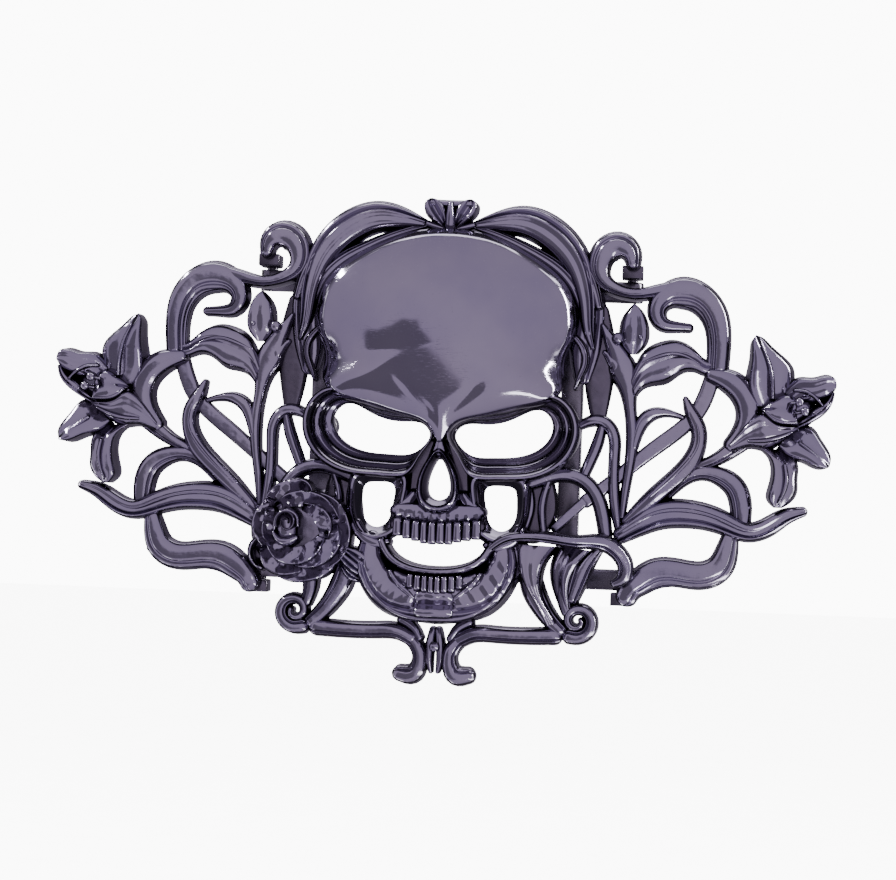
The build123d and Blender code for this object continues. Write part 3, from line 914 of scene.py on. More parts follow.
def tooth_row(name, widths, gum_z, bow, height, depth):
    """Teeth side by side from left to right, the middle ones longest and furthest out."""
    teeth = []
    uneven = random.Random(7)
    total = sum(widths)
    left = -total / 2
    for width in widths:
        x = left + width / 2
        left += width
        out = 2 * x / total
        long = height * (1 - 0.22 * out**2) * uneven.uniform(0.94, 1.05)
        stand = depth - 1.3 * out**2 + uneven.uniform(-0.12, 0.12)
        teeth.append(
            tooth(name, x, gum_z - bow * (1 - out**2), width * 1.1, long, stand, uneven.uniform(0.72, 0.84))
        )
    return joined(name, teeth)


UPPER_TEETH = (1.4, 1.3, 1.25, 1.1, 1.2, 1.2, 1.1, 1.25, 1.3, 1.4)
LOWER_TEETH = (1.1, 1.05, 0.95, 0.9, 0.9, 0.95, 1.05, 1.1)


class BUCKLE_OT_teeth(bpy.types.Operator):
    """Make the two rows of teeth"""

    bl_idname = "buckle.teeth"
    bl_label = "Teeth"

    def execute(self, context):
        upper = tooth_row("cast_upper_teeth", UPPER_TEETH, -12.7, 0.55, 3.3, front_of("upper_teeth") + 0.1)
        cast_skull(upper, "upper_teeth", 60)
        lower = tooth_row("cast_lower_teeth", LOWER_TEETH, -20.6, 0.3, 2.5, front_of("lower_teeth") + 0.4)
        cast_skull(lower, "lower_teeth", 60)
        return {"FINISHED"}


class BUCKLE_OT_lower_jaw(bpy.types.Operator):
    """Make the mandible and its boxy chin"""

    bl_idname = "buckle.lower_jaw"
    bl_label = "Lower jaw"

    def execute(self, context):
        depth = front_of("lower_jaw")
        half = [
            (9.3, -16.4, 1.6, 0.82), (9.4, -18.9, 2.1, 0.88), (8.2, -21.6, 2.5, 0.93),
            (6.0, -23.6, 2.7, 0.97),
        ]
        stations = mirrored(half, (-3.2, -24.2, 2.8, 1.0), (0, -24.4, 2.9, 1.0), (3.2, -24.2, 2.8, 1.0))
        broad = section(wall=0.62, fullness=3.2, grooves=[(-0.52, 0.12, 0.10)], lean=-0.2, count=36)
        mandible = band("mandible", stations, broad, depth, back=2.0)
        lip_half = [
            (7.8, -16.2, 0.7, 0.92), (6.8, -18.0, 0.7, 0.95), (5.0, -19.4, 0.7, 1.0),
            (2.6, -20.1, 0.65, 1.03),
        ]
        lower_lip = band("lip", mirrored(lip_half, (0, -20.3, 0.65, 1.05)), ROUND, depth, back=2.0)
        fold_half = [
            (6.4, -20.4, 0.45, 0.98), (4.9, -22.4, 0.6, 1.02), (3.1, -23.9, 0.55, 1.04),
            (2.2, -25.0, 0.4, 1.0),
        ]
        folds = [band("fold", fold_half, ROUND, depth, back=3.0, side=side) for side in BOTH_SIDES]
        gum = mirrored([(5.6, -20.9, 0.9, 0.9), (3.0, -22.0, 1.2, 0.93)], (0, -22.3, 1.3, 0.94))
        folds.append(band("gum", gum, ROUND, depth, back=2.0))
        edge_half = [
            (10.6, -19.2, 0.35, 0.80), (9.7, -22.2, 0.45, 0.86), (7.4, -25.0, 0.5, 0.92),
            (4.4, -26.6, 0.5, 0.96),
        ]
        folds.append(band("edge", mirrored(edge_half, (0, -27.0, 0.5, 0.98)), ROUND, depth, back=2.0))
        chin = tooth("chin", 0.0, -23.0, 5.6, 3.8, depth + 0.9, 1.0)
        whole = joined("cast_lower_jaw", [mandible, lower_lip, *folds, chin])

        def creases(x, at, z):
            """The chin's step and folds, and slack folds in the plate beside it."""
            on_chin = (np.abs(x) < 3.0) * (at > depth - 2)
            step = -0.75 * np.exp(-(((z + 24.9) / 0.55) ** 2)) + 0.25 * np.exp(-(((z + 26.0) / 0.6) ** 2))
            fold = -0.35 * np.exp(-(((np.abs(x) - 1.1) / 0.4) ** 2)) * np.exp(-(((z + 24.6) / 1.3) ** 2))
            beside = (np.abs(x) > 2.6) * (at > depth - 3.0)
            slack = 0.14 * np.sin(2.6 * np.abs(x) + 1.9 * z) * np.exp(-(((z + 21.5) / 3.5) ** 2))
            return at + on_chin * (step + fold) + beside * slack

        sculpt(whole, creases)
        cast_skull(whole, "lower_jaw", 50)
        return {"FINISHED"}


# ---------------------------------------------------------------- the rose
ROSE_MIDDLE = (-19.6, -15.2)
# Each petal is a lip that stands highest outwards. This widens the lips that the stations give.
PETAL_BREADTH = 1.9
ROSE_PETALS = [
    [
        (-24.4, -11.6, 0.3, 0.62), (-22.9, -9.9, 0.55, 0.7), (-20.9, -9.1, 0.6, 0.74),
        (-19.2, -9.1, 0.55, 0.7), (-18.4, -9.9, 0.3, 0.62),
    ],
    [
        (-24.0, -11.4, 0.4, 0.74), (-24.9, -13.4, 0.65, 0.8), (-25.0, -15.4, 0.65, 0.82),
        (-24.3, -17.2, 0.4, 0.74),
    ],
    [
        (-22.8, -11.8, 0.35, 0.8), (-20.8, -10.9, 0.55, 0.86), (-18.4, -10.7, 0.6, 0.88),
        (-16.2, -11.6, 0.6, 0.86), (-14.6, -13.4, 0.4, 0.78),
    ],
    [
        (-17.6, -10.2, 0.35, 0.7), (-15.2, -11.5, 0.6, 0.76), (-13.7, -13.8, 0.65, 0.8),
        (-13.4, -16.2, 0.65, 0.8), (-14.2, -18.4, 0.6, 0.76), (-15.4, -19.8, 0.35, 0.7),
    ],
    [
        (-14.6, -14.6, 0.35, 0.86), (-14.6, -16.6, 0.6, 0.9), (-15.9, -18.4, 0.65, 0.92),
        (-17.9, -19.4, 0.6, 0.9), (-19.8, -19.6, 0.4, 0.84),
    ],
    [
        (-14.6, -19.0, 0.4, 0.7), (-16.2, -20.4, 0.65, 0.74), (-18.4, -21.2, 0.65, 0.76),
        (-20.6, -21.4, 0.6, 0.74), (-22.6, -20.9, 0.4, 0.68),
    ],
    [
        (-24.4, -18.2, 0.4, 0.78), (-23.4, -19.7, 0.7, 0.84), (-21.6, -20.3, 0.75, 0.86),
        (-19.6, -20.4, 0.5, 0.8),
    ],
    [
        (-23.6, -17.0, 0.35, 0.88), (-22.2, -18.4, 0.6, 0.95), (-20.0, -18.9, 0.65, 0.97),
        (-17.8, -18.0, 0.6, 0.95), (-16.4, -16.2, 0.35, 0.88),
    ],
    [
        (-18.8, -11.9, 0.35, 0.9), (-17.0, -12.6, 0.55, 0.95), (-15.9, -14.2, 0.6, 0.96),
        (-15.9, -15.8, 0.4, 0.9),
    ],
    [
        (-23.8, -12.4, 0.3, 0.86), (-23.9, -14.2, 0.45, 0.92), (-23.9, -15.8, 0.45, 0.92),
        (-23.2, -17.2, 0.3, 0.86),
    ],
]
ROSE_LOBE = [
    (-25.4, -16.2, 0.4, 0.62), (-26.5, -17.4, 0.5, 0.62), (-26.7, -19.0, 0.5, 0.6),
    (-26.1, -20.2, 0.45, 0.56), (-25.0, -20.8, 0.4, 0.55),
]
ROSE_SEPALS = [
    [
        (-13.4, -18.6, 0.7, 0.75), (-12.2, -19.6, 0.9, 0.82), (-10.8, -20.6, 0.8, 0.8),
        (-9.4, -21.4, 0.4, 0.7),
    ],
    [
        (-12.9, -17.6, 0.5, 0.8), (-11.6, -18.2, 0.9, 0.86), (-10.0, -19.3, 0.9, 0.86),
        (-8.8, -20.4, 0.4, 0.78),
    ],
    [(-13.2, -20.2, 0.5, 0.62), (-12.0, -21.4, 0.7, 0.68), (-10.6, -22.0, 0.4, 0.6)],
]


class BUCKLE_OT_rose(bpy.types.Operator):
    """Make the rose: a ring of lapping petals and a coiled bud"""

    bl_idname = "buckle.rose"
    bl_label = "Rose"

    def execute(self, context):
        depth = front_of("rose_petals")
        petal_lip = np.array([
            (-1.05, 0.0), (-1.0, 0.87), (-0.7, 0.885), (-0.3, 0.90), (0.1, 0.925), (0.4, 0.955),
            (0.62, 0.985), (0.76, 1.0), (0.88, 0.99), (0.97, 0.95), (1.03, 0.86), (1.06, 0.6), (1.1, 0.0),
        ])
        thin_lip = section(wall=0.42, fullness=2.2, lean=0.2, count=24)
        # The floor under the petals is painted part way dark as shade.
        floor = band(
            "floor",
            [(-21.4, -15.2, 5.6, 0.9), (-17.9, -15.4, 5.2, 0.9)],
            section(wall=0.8, fullness=3.0),
            depth - 5.0,
        )
        pieces = [darken(floor, 0.4)]
        for stations in ROSE_PETALS:
            # The lip's high side has to face outwards, so a petal drawn the other way is turned round.
            wider = [(x, z, half * PETAL_BREADTH, share) for x, z, half, share in stations]
            sideways = (wider[-1][0] - wider[0][0]) * (wider[0][1] - ROSE_MIDDLE[1])
            upright = (wider[-1][1] - wider[0][1]) * (wider[0][0] - ROSE_MIDDLE[0])
            if sideways - upright < 0:
                wider.reverse()
            pieces.append(band("petal", wider, petal_lip, depth, back=1.0, spacing=0.3))
        pieces.append(band("lobe", ROSE_LOBE, thin_lip, depth, spacing=0.3))
        # The low floor inside the lobe is painted dark as shade.
        pieces.append(darken(band("lobe_floor", [(-25.4, -18.0, 1.0), (-25.5, -19.2, 1.0)], FLAT, 2.6)))
        for stations in ROSE_SEPALS:
            pieces.append(band("sepal", stations, LEAF, depth, back=2.0, spacing=0.3))
        petals = joined("cast_rose_petals", pieces)

        def crinkles(x, at, z):
            """Uneven waves round the flower, on the raised petals only."""
            around = np.arctan2(z - ROSE_MIDDLE[1], x - ROSE_MIDDLE[0])
            reach = np.hypot(x - ROSE_MIDDLE[0], z - ROSE_MIDDLE[1])
            raised = (at > depth - 4.5) * (reach < 8.0)
            wave = 0.16 * np.sin(9 * around + 1.7 * reach) + 0.10 * np.sin(17 * around - 2.3 * reach + 1.0)
            return at + raised * wave

        sculpt(petals, crinkles)
        cast_foliage(petals, "rose_petals")

        high = front_of("rose_bud")
        coil = []
        for i in range(15):
            turn = math.radians(200 - 40 * i)
            reach = 1.5 - 0.085 * i
            coil.append(
                (
                    -21.2 + reach * math.cos(turn),
                    -14.1 + 1.15 * reach * math.sin(turn),
                    0.40 - 0.008 * i,
                    0.9 + 0.007 * i,
                )
            )
        curl = band("coil", coil, section(wall=0.4, fullness=2.0, count=20), high, back=3.0, spacing=0.2)
        core = band("core", [(-21.3, -13.9, 1.7), (-21.2, -15.6, 1.6)], ROUND, high - 1.2, back=3.0)
        tongue = [
            (-23.0, -15.6, 0.35, 0.86), (-22.3, -16.6, 0.6, 0.92), (-20.9, -16.8, 0.75, 0.95),
            (-19.7, -16.2, 0.45, 0.9),
        ]
        lower = band("tongue", tongue, ROUND, high - 0.2, back=3.0)
        wrap = [
            (-22.9, -15.2, 0.3, 0.84), (-22.6, -13.4, 0.4, 0.9), (-21.4, -12.5, 0.45, 0.92),
            (-20.0, -13.0, 0.4, 0.9), (-19.6, -14.6, 0.35, 0.86),
        ]
        outer_wrap = band("wrap", wrap, ROUND, high - 0.3, back=3.0, spacing=0.25)
        bud = joined("cast_rose_bud", [curl, core, lower, outer_wrap])
        cast_foliage(bud, "rose_bud")
        return {"FINISHED"}


class BUCKLE_OT_rose_stem(bpy.types.Operator):
    """Make the hooked stem over the jaw and the leaf that hangs from it"""

    bl_idname = "buckle.rose_stem"
    bl_label = "Rose stem"

    def execute(self, context):
        stem = band(
            "cast_rose_stem",
            [
                (7.6, -16.8, 0.6, 0.9), (9.6, -15.4, 0.7), (12.4, -14.85, 0.7), (16.4, -15.0, 0.75),
                (20.0, -15.35, 0.85, 0.95), (23.4, -15.4, 1.05, 0.8), (25.7, -16.8, 1.05, 0.7),
                (26.7, -18.8, 1.0, 0.62), (26.2, -20.4, 0.85, 0.58), (25.2, -21.0, 0.6, 0.55),
            ],
            TWIN, front_of("rose_stem"), back=3.2,
        )
        cast_foliage(stem, "rose_stem")
        drape = [
            (
                [
                    (7.6, -17.2), (9.2, -16.2), (11.4, -15.8), (12.6, -17.2), (12.4, -19.4), (11.2, -21.6),
                    (9.4, -23.6),
                ],
                [
                    (7.2, -17.6), (6.9, -19.2), (6.6, -20.6), (6.5, -22.0), (6.3, -23.4), (6.4, -24.8),
                    (6.4, -25.6),
                ],
                0.10, (0.85, 1.0, 1.0, 0.95, 0.85),
            ),
            (
                [(11.2, -16.0), (11.5, -18.2), (12.0, -20.4), (13.2, -22.8), (14.6, -25.2), (15.8, -27.4)],
                [(16.8, -16.2), (15.4, -18.2), (14.8, -20.6), (15.2, -23.2), (16.4, -25.4), (17.4, -27.0)],
                -0.12, (0.92, 1.0, 0.95, 0.8, 0.66),
            ),
            (
                [(17.4, -16.0), (16.4, -18.2), (16.2, -20.6), (16.8, -23.0), (17.8, -25.2), (18.6, -26.4)],
                [(21.6, -16.6), (20.0, -18.4), (19.0, -20.4), (18.7, -22.4), (18.9, -24.4), (19.2, -26.0)],
                0.16, (0.70, 0.74, 0.68, 0.6, 0.52),
            ),
        ]
        depth = front_of("stem_leaf")
        leaf = joined(
            "cast_stem_leaf",
            [
                blade("drape", edge, other, PETAL, depth, tilt=tilt, rise=rise)
                for edge, other, tilt, rise in drape
            ],
        )
        cast_foliage(leaf, "stem_leaf")
        return {"FINISHED"}


# ---------------------------------------------------------------- the foliage, drawn for the left side
# Each list holds bands, and each band its stations, as band() takes them.
# The scroll: a narrow ridge inside the C, the C itself, and the link with its small curl.
SCROLL = [
    [
        (-37.4, 10.6, 0.35, 0.8), (-37.4, 13.9, 0.4, 0.8), (-36.7, 16.6, 0.45, 0.8),
        (-34.9, 18.4, 0.5, 0.8), (-32.6, 18.9, 0.45, 0.8),
    ],
    [
        (-38.75, 10.2, 1.35, 0.9), (-38.8, 14.4, 1.45), (-38.05, 17.5, 1.65), (-36.0, 19.9, 1.85),
        (-33.2, 20.6, 2.0), (-30.8, 19.7, 1.55), (-29.8, 17.8, 1.25), (-30.6, 16.1, 1.0, 0.95),
        (-32.4, 15.7, 0.75, 0.85), (-34.5, 15.6, 0.6, 0.75),
    ],
    [
        (-32.6, 21.3, 1.0, 0.9), (-29.6, 20.6, 0.95), (-26.4, 20.1, 0.8), (-23.8, 20.7, 0.9),
        (-21.8, 22.2, 1.2), (-21.4, 24.3, 1.5), (-22.4, 26.4, 1.75), (-24.3, 27.0, 1.75),
        (-25.8, 26.0, 1.35), (-26.2, 24.4, 0.95, 0.9),
    ],
]
# The arch, its outer ridge, its inner ridge over the skull, a low web behind and a curl at the temple.
ARCH = [
    [
        (-3.9, 29.2, 0.7, 0.9), (-7.4, 29.9, 1.55), (-10.6, 30.0, 2.0), (-13.6, 28.9, 2.15),
        (-16.2, 26.9, 2.1), (-18.2, 24.2, 1.85), (-19.3, 21.2, 1.5), (-19.9, 17.8, 1.2, 0.95),
        (-20.2, 14.8, 0.9, 0.9), (-20.9, 12.3, 0.4, 0.8),
    ],
    [(-17.6, 25.6, 0.7, 0.8), (-19.4, 23.6, 0.9, 0.9), (-20.8, 21.0, 0.8, 0.9), (-21.6, 18.2, 0.6, 0.8)],
    [
        (-3.6, 28.9, 0.5, 0.8), (-7.6, 27.6, 0.65, 0.85), (-11.8, 25.7, 0.8, 0.85),
        (-15.4, 23.6, 1.0, 0.85), (-18.0, 20.8, 1.0, 0.85), (-19.2, 17.8, 0.7, 0.8),
    ],
    [
        (-19.2, 22.4, 1.3, 0.45), (-20.2, 18.6, 1.9, 0.45), (-20.2, 14.8, 2.0, 0.45),
        (-19.8, 11.2, 1.9, 0.45), (-19.6, 8.2, 1.2, 0.45),
    ],
    [
        (-18.4, 13.6, 0.5, 0.8), (-19.6, 12.0, 0.6, 0.9), (-19.9, 10.0, 0.6, 0.9), (-19.2, 8.0, 0.5, 0.9),
        (-18.6, 6.4, 0.3, 0.8),
    ],
]
# Each petal of the lily: its two edges, its tilt, and its share of the depth along it.
LILY = [
    (
        [
            (-48.6, 4.6), (-49.0, 7.6), (-48.9, 10.4), (-47.4, 12.2), (-45.8, 13.7), (-44.8, 14.6),
            (-44.1, 14.8),
        ],
        [
            (-44.4, 4.8), (-43.4, 6.8), (-43.2, 8.8), (-43.4, 10.8), (-43.4, 12.8), (-43.5, 14.2),
            (-43.9, 14.8),
        ],
        0.18, (0.62, 0.80, 0.95, 0.98, 0.9),
    ),
    (
        [(-48.4, 7.6), (-50.2, 8.9), (-52.4, 9.0), (-54.2, 9.45), (-55.2, 9.1), (-55.5, 8.2)],
        [(-48.6, 4.0), (-50.6, 5.4), (-52.2, 5.6), (-53.8, 6.2), (-55.0, 6.9), (-55.5, 7.8)],
        -0.06, (0.60, 0.78, 0.92, 0.98, 0.92),
    ),
    (
        [(-55.3, 7.0), (-55.0, 5.6), (-53.9, 4.1), (-52.4, 3.0), (-50.8, 2.1), (-49.6, 1.6)],
        [(-54.8, 7.2), (-53.4, 5.6), (-52.3, 5.0), (-51.2, 3.9), (-50.0, 3.0), (-49.2, 2.2)],
        -0.22, (0.85, 0.88, 0.85, 0.8, 0.7),
    ),
    (
        [(-49.6, 3.4), (-49.6, 6.2), (-48.3, 6.5), (-46.8, 5.8), (-45.6, 5.0), (-45.0, 4.4)],
        [(-49.4, 3.0), (-50.2, 2.3), (-48.6, 2.3), (-47.1, 2.7), (-45.9, 3.5), (-45.1, 4.2)],
        0.10, (0.70, 0.90, 1.0, 0.98, 0.8),
    ),
    (
        [(-50.4, 2.0), (-48.6, 2.1), (-46.8, 2.6), (-45.4, 3.6), (-43.8, 2.9), (-42.2, 1.2), (-40.8, -0.6)],
        [
            (-50.2, 1.6), (-48.6, 0.3), (-47.0, -0.7), (-45.4, -1.1), (-43.8, -1.0), (-42.2, -1.4),
            (-41.0, -1.8),
        ],
        -0.12, (0.80, 0.92, 0.95, 0.90, 0.78),
    ),
    (
        [(-50.2, 2.0), (-52.0, 1.9), (-53.4, 0.4), (-54.6, -1.2), (-55.1, -2.4), (-54.9, -3.4)],
        [(-47.6, -0.8), (-49.4, -2.2), (-51.2, -2.7), (-52.8, -3.5), (-54.0, -3.75), (-54.7, -3.6)],
        0.12, (0.62, 0.80, 0.88, 0.94, 0.88),
    ),
    (
        [(-49.2, -1.4), (-50.3, -3.4), (-50.3, -5.2), (-50.3, -7.0), (-49.5, -8.6), (-48.4, -9.5)],
        [(-44.6, -0.9), (-46.6, -2.6), (-47.0, -4.6), (-46.7, -6.6), (-46.5, -8.4), (-47.4, -9.5)],
        0.16, (0.60, 0.80, 0.92, 0.98, 0.86),
    ),
]
LILY_RIBS = [
    [(-46.6, 6.0, 0.3, 0.85), (-46.4, 8.6, 0.35, 1.0), (-45.8, 11.0, 0.35, 1.03), (-44.8, 13.2, 0.2, 1.0)],
    [(-44.3, 8.4, 0.35, 0.8), (-44.7, 10.6, 0.4, 0.95), (-44.3, 12.8, 0.25, 0.95)],
    [(-49.6, 7.2, 0.3, 0.8), (-51.2, 7.0, 0.4, 0.93), (-52.6, 6.2, 0.35, 0.95), (-53.6, 5.2, 0.25, 0.9)],
    [(-49.8, 2.6, 0.3, 0.98), (-48.2, 2.6, 0.35, 1.02), (-46.8, 3.0, 0.35, 1.02), (-45.6, 4.0, 0.25, 0.98)],
    [(-49.4, 1.2, 0.25, 0.95), (-47.6, 0.4, 0.35, 1.0), (-45.6, -0.1, 0.35, 0.98), (-43.4, -0.2, 0.3, 0.9)],
    [(-50.6, -0.2, 0.3, 0.85), (-52.2, -1.4, 0.35, 0.9), (-53.8, -2.8, 0.2, 0.9)],
    [(-48.6, -3.4, 0.3, 0.9), (-48.9, -5.4, 0.4, 0.98), (-48.5, -7.4, 0.35, 1.0), (-47.9, -8.8, 0.2, 0.95)],
]
LILY_WEB = [
    [
        (-37.8, 9.0, 1.0, 0.72), (-40.2, 8.3, 1.5, 0.75), (-42.4, 6.6, 1.7, 0.75), (-43.3, 4.0, 1.6, 0.72),
        (-42.7, 1.4, 1.4, 0.7), (-41.0, -0.9, 1.1, 0.66),
    ],
    [(-50.6, 4.6, 2.2, 0.5), (-47.0, 3.2, 2.4, 0.55), (-45.4, 1.8, 1.8, 0.55)],
]
# The leaves that are bands: their shape and their stations.
LEAVES = {
    "spike_leaf": (ROUND, [
        (-34.3, 5.5, 0.4, 0.8), (-35.2, 3.5, 0.85), (-36.3, 1.2, 1.0), (-36.3, -1.0, 1.05),
        (-35.3, -3.5, 1.2), (-33.0, -6.1, 1.2), (-30.4, -8.5, 1.15), (-28.2, -10.6, 0.95, 0.9),
        (-26.4, -12.2, 0.6, 0.8),
    ]),
    "lower_leaf": (RIDGED, [
        (-51.5, -9.9, 0.65, 0.8), (-49.0, -10.7, 1.05), (-46.5, -12.3, 1.25), (-44.0, -13.1, 1.25),
        (-41.0, -12.2, 1.45), (-38.0, -11.2, 1.65), (-34.5, -10.8, 1.8), (-31.5, -11.1, 1.8),
        (-28.5, -12.5, 1.5), (-25.8, -14.2, 1.1, 0.9),
    ]),
}
# The upright stem with its leaf, the arc beside it, the inner stem, a leaflet and the cheek's strands.
VINE = [
    [
        (-25.9, -11.6, 0.45, 0.8), (-26.2, -8.0, 0.6, 0.9), (-26.7, -4.0, 0.7), (-26.9, 0.0, 0.8),
        (-26.4, 4.4, 0.85), (-25.9, 7.4, 1.4), (-25.2, 9.4, 1.8), (-24.4, 11.4, 1.35), (-23.3, 13.5, 0.9),
        (-22.2, 15.5, 0.35, 0.8),
    ],
    [
        (-34.0, 2.9, 0.35, 0.7), (-32.2, 3.35, 0.5, 0.8), (-30.4, 3.4, 0.75), (-28.8, 2.6, 0.9),
        (-27.8, 0.9, 0.8), (-27.2, -1.6, 0.6),
    ],
    [
        (-25.6, -14.0, 0.5, 0.8), (-24.9, -10.5, 0.7), (-24.5, -6.5, 0.75), (-24.5, -2.6, 0.75),
        (-24.2, 0.2, 0.8), (-22.8, 1.8, 0.8), (-21.0, 1.9, 0.75), (-19.4, 1.1, 0.55, 0.9),
    ],
    [(-25.0, 8.2, 0.9, 0.8), (-24.0, 10.2, 0.9), (-22.6, 11.7, 0.4, 0.7)],
    [(-22.6, 1.2, 0.6, 0.8), (-22.1, -1.0, 0.75, 0.8), (-21.2, -3.5, 0.75, 0.8), (-20.2, -6.0, 0.7, 0.8)],
    [
        (-12.4, -7.4, 1.0, 1.1), (-14.4, -6.6, 1.0, 1.1), (-17.0, -5.9, 0.95, 1.05), (-20.0, -6.5, 0.95),
        (-22.0, -8.5, 0.95), (-23.0, -11.0, 0.95), (-23.6, -14.2, 0.9),
    ],
    [(-12.4, -7.2, 0.5), (-12.9, -10.4, 0.6), (-12.3, -13.8, 0.5)],
    [(-15.4, -6.6, 0.5), (-14.5, -10.2, 0.6), (-14.9, -14.6, 0.5)],
]
LILY_STEM = [
    [(-43.6, 0.6, 1.2), (-41.0, -1.5, 1.05), (-39.0, -2.9, 0.85), (-36.2, -4.1, 0.7, 0.9)],
    [
        (-42.8, -11.9, 1.2, 0.9), (-42.6, -9.0, 1.4), (-41.8, -6.9, 1.4), (-40.0, -5.5, 1.25),
        (-38.0, -4.95, 1.0), (-36.0, -5.1, 0.95), (-34.0, -6.3, 0.85), (-32.3, -8.1, 0.7, 0.85),
    ],
]
LOOP_LIP = [
    (-41.6, -18.6, 0.3, 0.8), (-39.4, -20.5, 0.45, 0.85), (-36.0, -20.9, 0.45, 0.85),
    (-32.0, -20.9, 0.5, 0.85),
    (-29.6, -21.9, 0.45, 0.8),
]
LOWER_LOOP = [
    (-41.4, -13.4, 1.0, 0.9), (-40.9, -16.0, 1.45), (-40.0, -18.2, 1.7), (-38.0, -19.4, 1.75),
    (-34.5, -19.3, 1.75), (-31.0, -19.4, 1.85), (-28.8, -20.7, 1.75), (-27.4, -22.0, 1.5),
    (-26.9, -23.0, 1.35, 0.9),
]
# Thin webs of metal that close the deep hollows beside the temples and the cheeks, painted dark as the
# shade there.
WEBS = [
    [(-21.6, 17.5, 1.2), (-21.8, 13.6, 1.8), (-21.9, 9.6, 1.9), (-21.9, 6.2, 1.6), (-22.0, 2.6, 1.0)],
    [(-14.0, -7.8, 1.9), (-14.0, -11.0, 2.3), (-13.0, -14.0, 1.9)],
]
BRACE = [
    [
        (-38.3, 10.0, 0.95), (-37.4, 6.8, 1.0), (-36.2, 4.0, 1.0), (-34.6, 2.0, 0.95), (-31.5, -0.6, 0.95),
        (-28.0, -3.4, 0.9), (-24.5, -6.4, 0.85), (-20.6, -9.6, 0.85),
    ],
    [(-16.4, -13.6, 0.6), (-18.4, -11.6, 0.65), (-20.4, -9.6, 0.6)],
]
RAIL = [
    (-17.0, -28.9, 1.15), (-12.0, -29.1, 1.1), (-8.0, -29.0, 1.1), (-5.4, -29.1, 1.1),
    (-3.4, -30.1, 1.0, 0.95),
]


def several(name, bands, shape, depth, side):
    """Bands of one shape, joined into a piece."""
    return joined(name, [band(name, stations, shape, depth, side=side) for stations in bands])


class BUCKLE_OT_scrolls(bpy.types.Operator):
    """Make the C scrolls with their links and small curls"""

    bl_idname = "buckle.scrolls"
    bl_label = "Scrolls"

    def execute(self, context):
        for name, side in SIDES.items():
            piece = several(f"cast_scroll_{name}", SCROLL, TWIN, front_of(f"scroll_{name}"), side)
            cast_foliage(piece, f"scroll_{name}")
        return {"FINISHED"}


class BUCKLE_OT_arches(bpy.types.Operator):
    """Make the double-ridged arches over the skull"""

    bl_idname = "buckle.arches"
    bl_label = "Arches"

    def execute(self, context):
        for name, side in SIDES.items():
            piece = several(f"cast_arch_{name}", ARCH, RIDGED, front_of(f"arch_{name}"), side)
            cast_foliage(piece, f"arch_{name}")
        return {"FINISHED"}


class BUCKLE_OT_lilies(bpy.types.Operator):
    """Make the lilies and their stamens"""

    bl_idname = "buckle.lilies"
    bl_label = "Lilies"

    def execute(self, context):
        stamens = []
        for name, side in SIDES.items():
            depth = front_of(f"lily_{name}")
            parts = [
                blade(
                    "petal", edge, other, PETAL, depth, side=side, tilt=tilt, rise=rise
                ) for edge, other, tilt, rise in LILY
            ]
            parts += [band("web", stations, ROUND, depth, side=side) for stations in LILY_WEB]
            parts += [
                band("rib", stations, ROUND, depth, back=1.0, side=side, spacing=0.3)
                for stations in LILY_RIBS
            ]
            piece = joined(f"cast_lily_{name}", parts)
            cast_foliage(piece, f"lily_{name}")
            for x, z in ((-50.3, 5.5), (-51.1, 4.2)):
                stamens.append(ball("stamen", x * side, z, depth + 0.35, 0.62))
                filament = [(x, z, 0.22, 1.0), (x + 1.2, z - 0.2, 0.24, 0.96)]
                stamens.append(
                    band("filament", filament, ROUND, depth + 0.2, back=3.0, side=side, spacing=0.2)
                )
        whole = joined("cast_lily_stamens", stamens)
        cast_foliage(whole, "lily_stamens", 60)
        return {"FINISHED"}


# The midrib of each leaf. The upper leaf is drawn by its two edges instead of by a band.
LEAF_RIBS = {
    "leaf": [
        (-28.0, 10.4, 0.25, 0.9), (-30.2, 11.3, 0.35, 1.06), (-32.4, 11.8, 0.35, 1.06),
        (-34.6, 11.3, 0.25, 1.0), (-36.2, 10.4, 0.15, 0.9),
    ],
    "spike_leaf": [
        (-35.0, 4.2, 0.15, 0.9), (-36.1, 1.6, 0.25, 1.04), (-36.3, -0.8, 0.3, 1.05),
        (-35.1, -3.2, 0.35, 1.05), (-32.6, -6.0, 0.3, 1.05), (-29.6, -8.8, 0.2, 1.0),
    ],
    "lower_leaf": [
        (-47.6, -11.4, 0.2, 0.9), (-44.0, -12.9, 0.3, 1.0), (-41.0, -11.9, 0.35, 1.05),
        (-38.0, -10.8, 0.4, 1.06), (-34.6, -10.3, 0.45, 1.06), (-31.4, -10.6, 0.4, 1.05),
        (-28.4, -11.9, 0.35, 1.0), (-26.4, -13.4, 0.25, 0.9),
    ],
}
LEAF_EDGES = (
    [
        (-38.2, 10.9), (-37.0, 11.1), (-35.6, 12.2), (-34.0, 13.2), (-32.4, 13.5), (-30.5, 13.1),
        (-28.7, 12.2), (-27.2, 10.2), (-26.4, 8.2),
    ],
    [
        (-38.0, 9.1), (-36.9, 9.0), (-35.6, 9.5), (-34.2, 9.6), (-32.8, 8.9), (-31.4, 8.0), (-29.8, 7.6),
        (-28.3, 7.0), (-27.2, 5.6),
    ],
)
BUD_EDGES = (
    [(-27.2, 11.6), (-28.3, 13.2), (-28.5, 15.0), (-28.1, 16.8), (-27.3, 18.2), (-26.7, 18.7)],
    [(-25.9, 11.6), (-25.0, 12.8), (-24.8, 14.6), (-25.0, 16.4), (-25.7, 17.9), (-26.4, 18.7)],
)


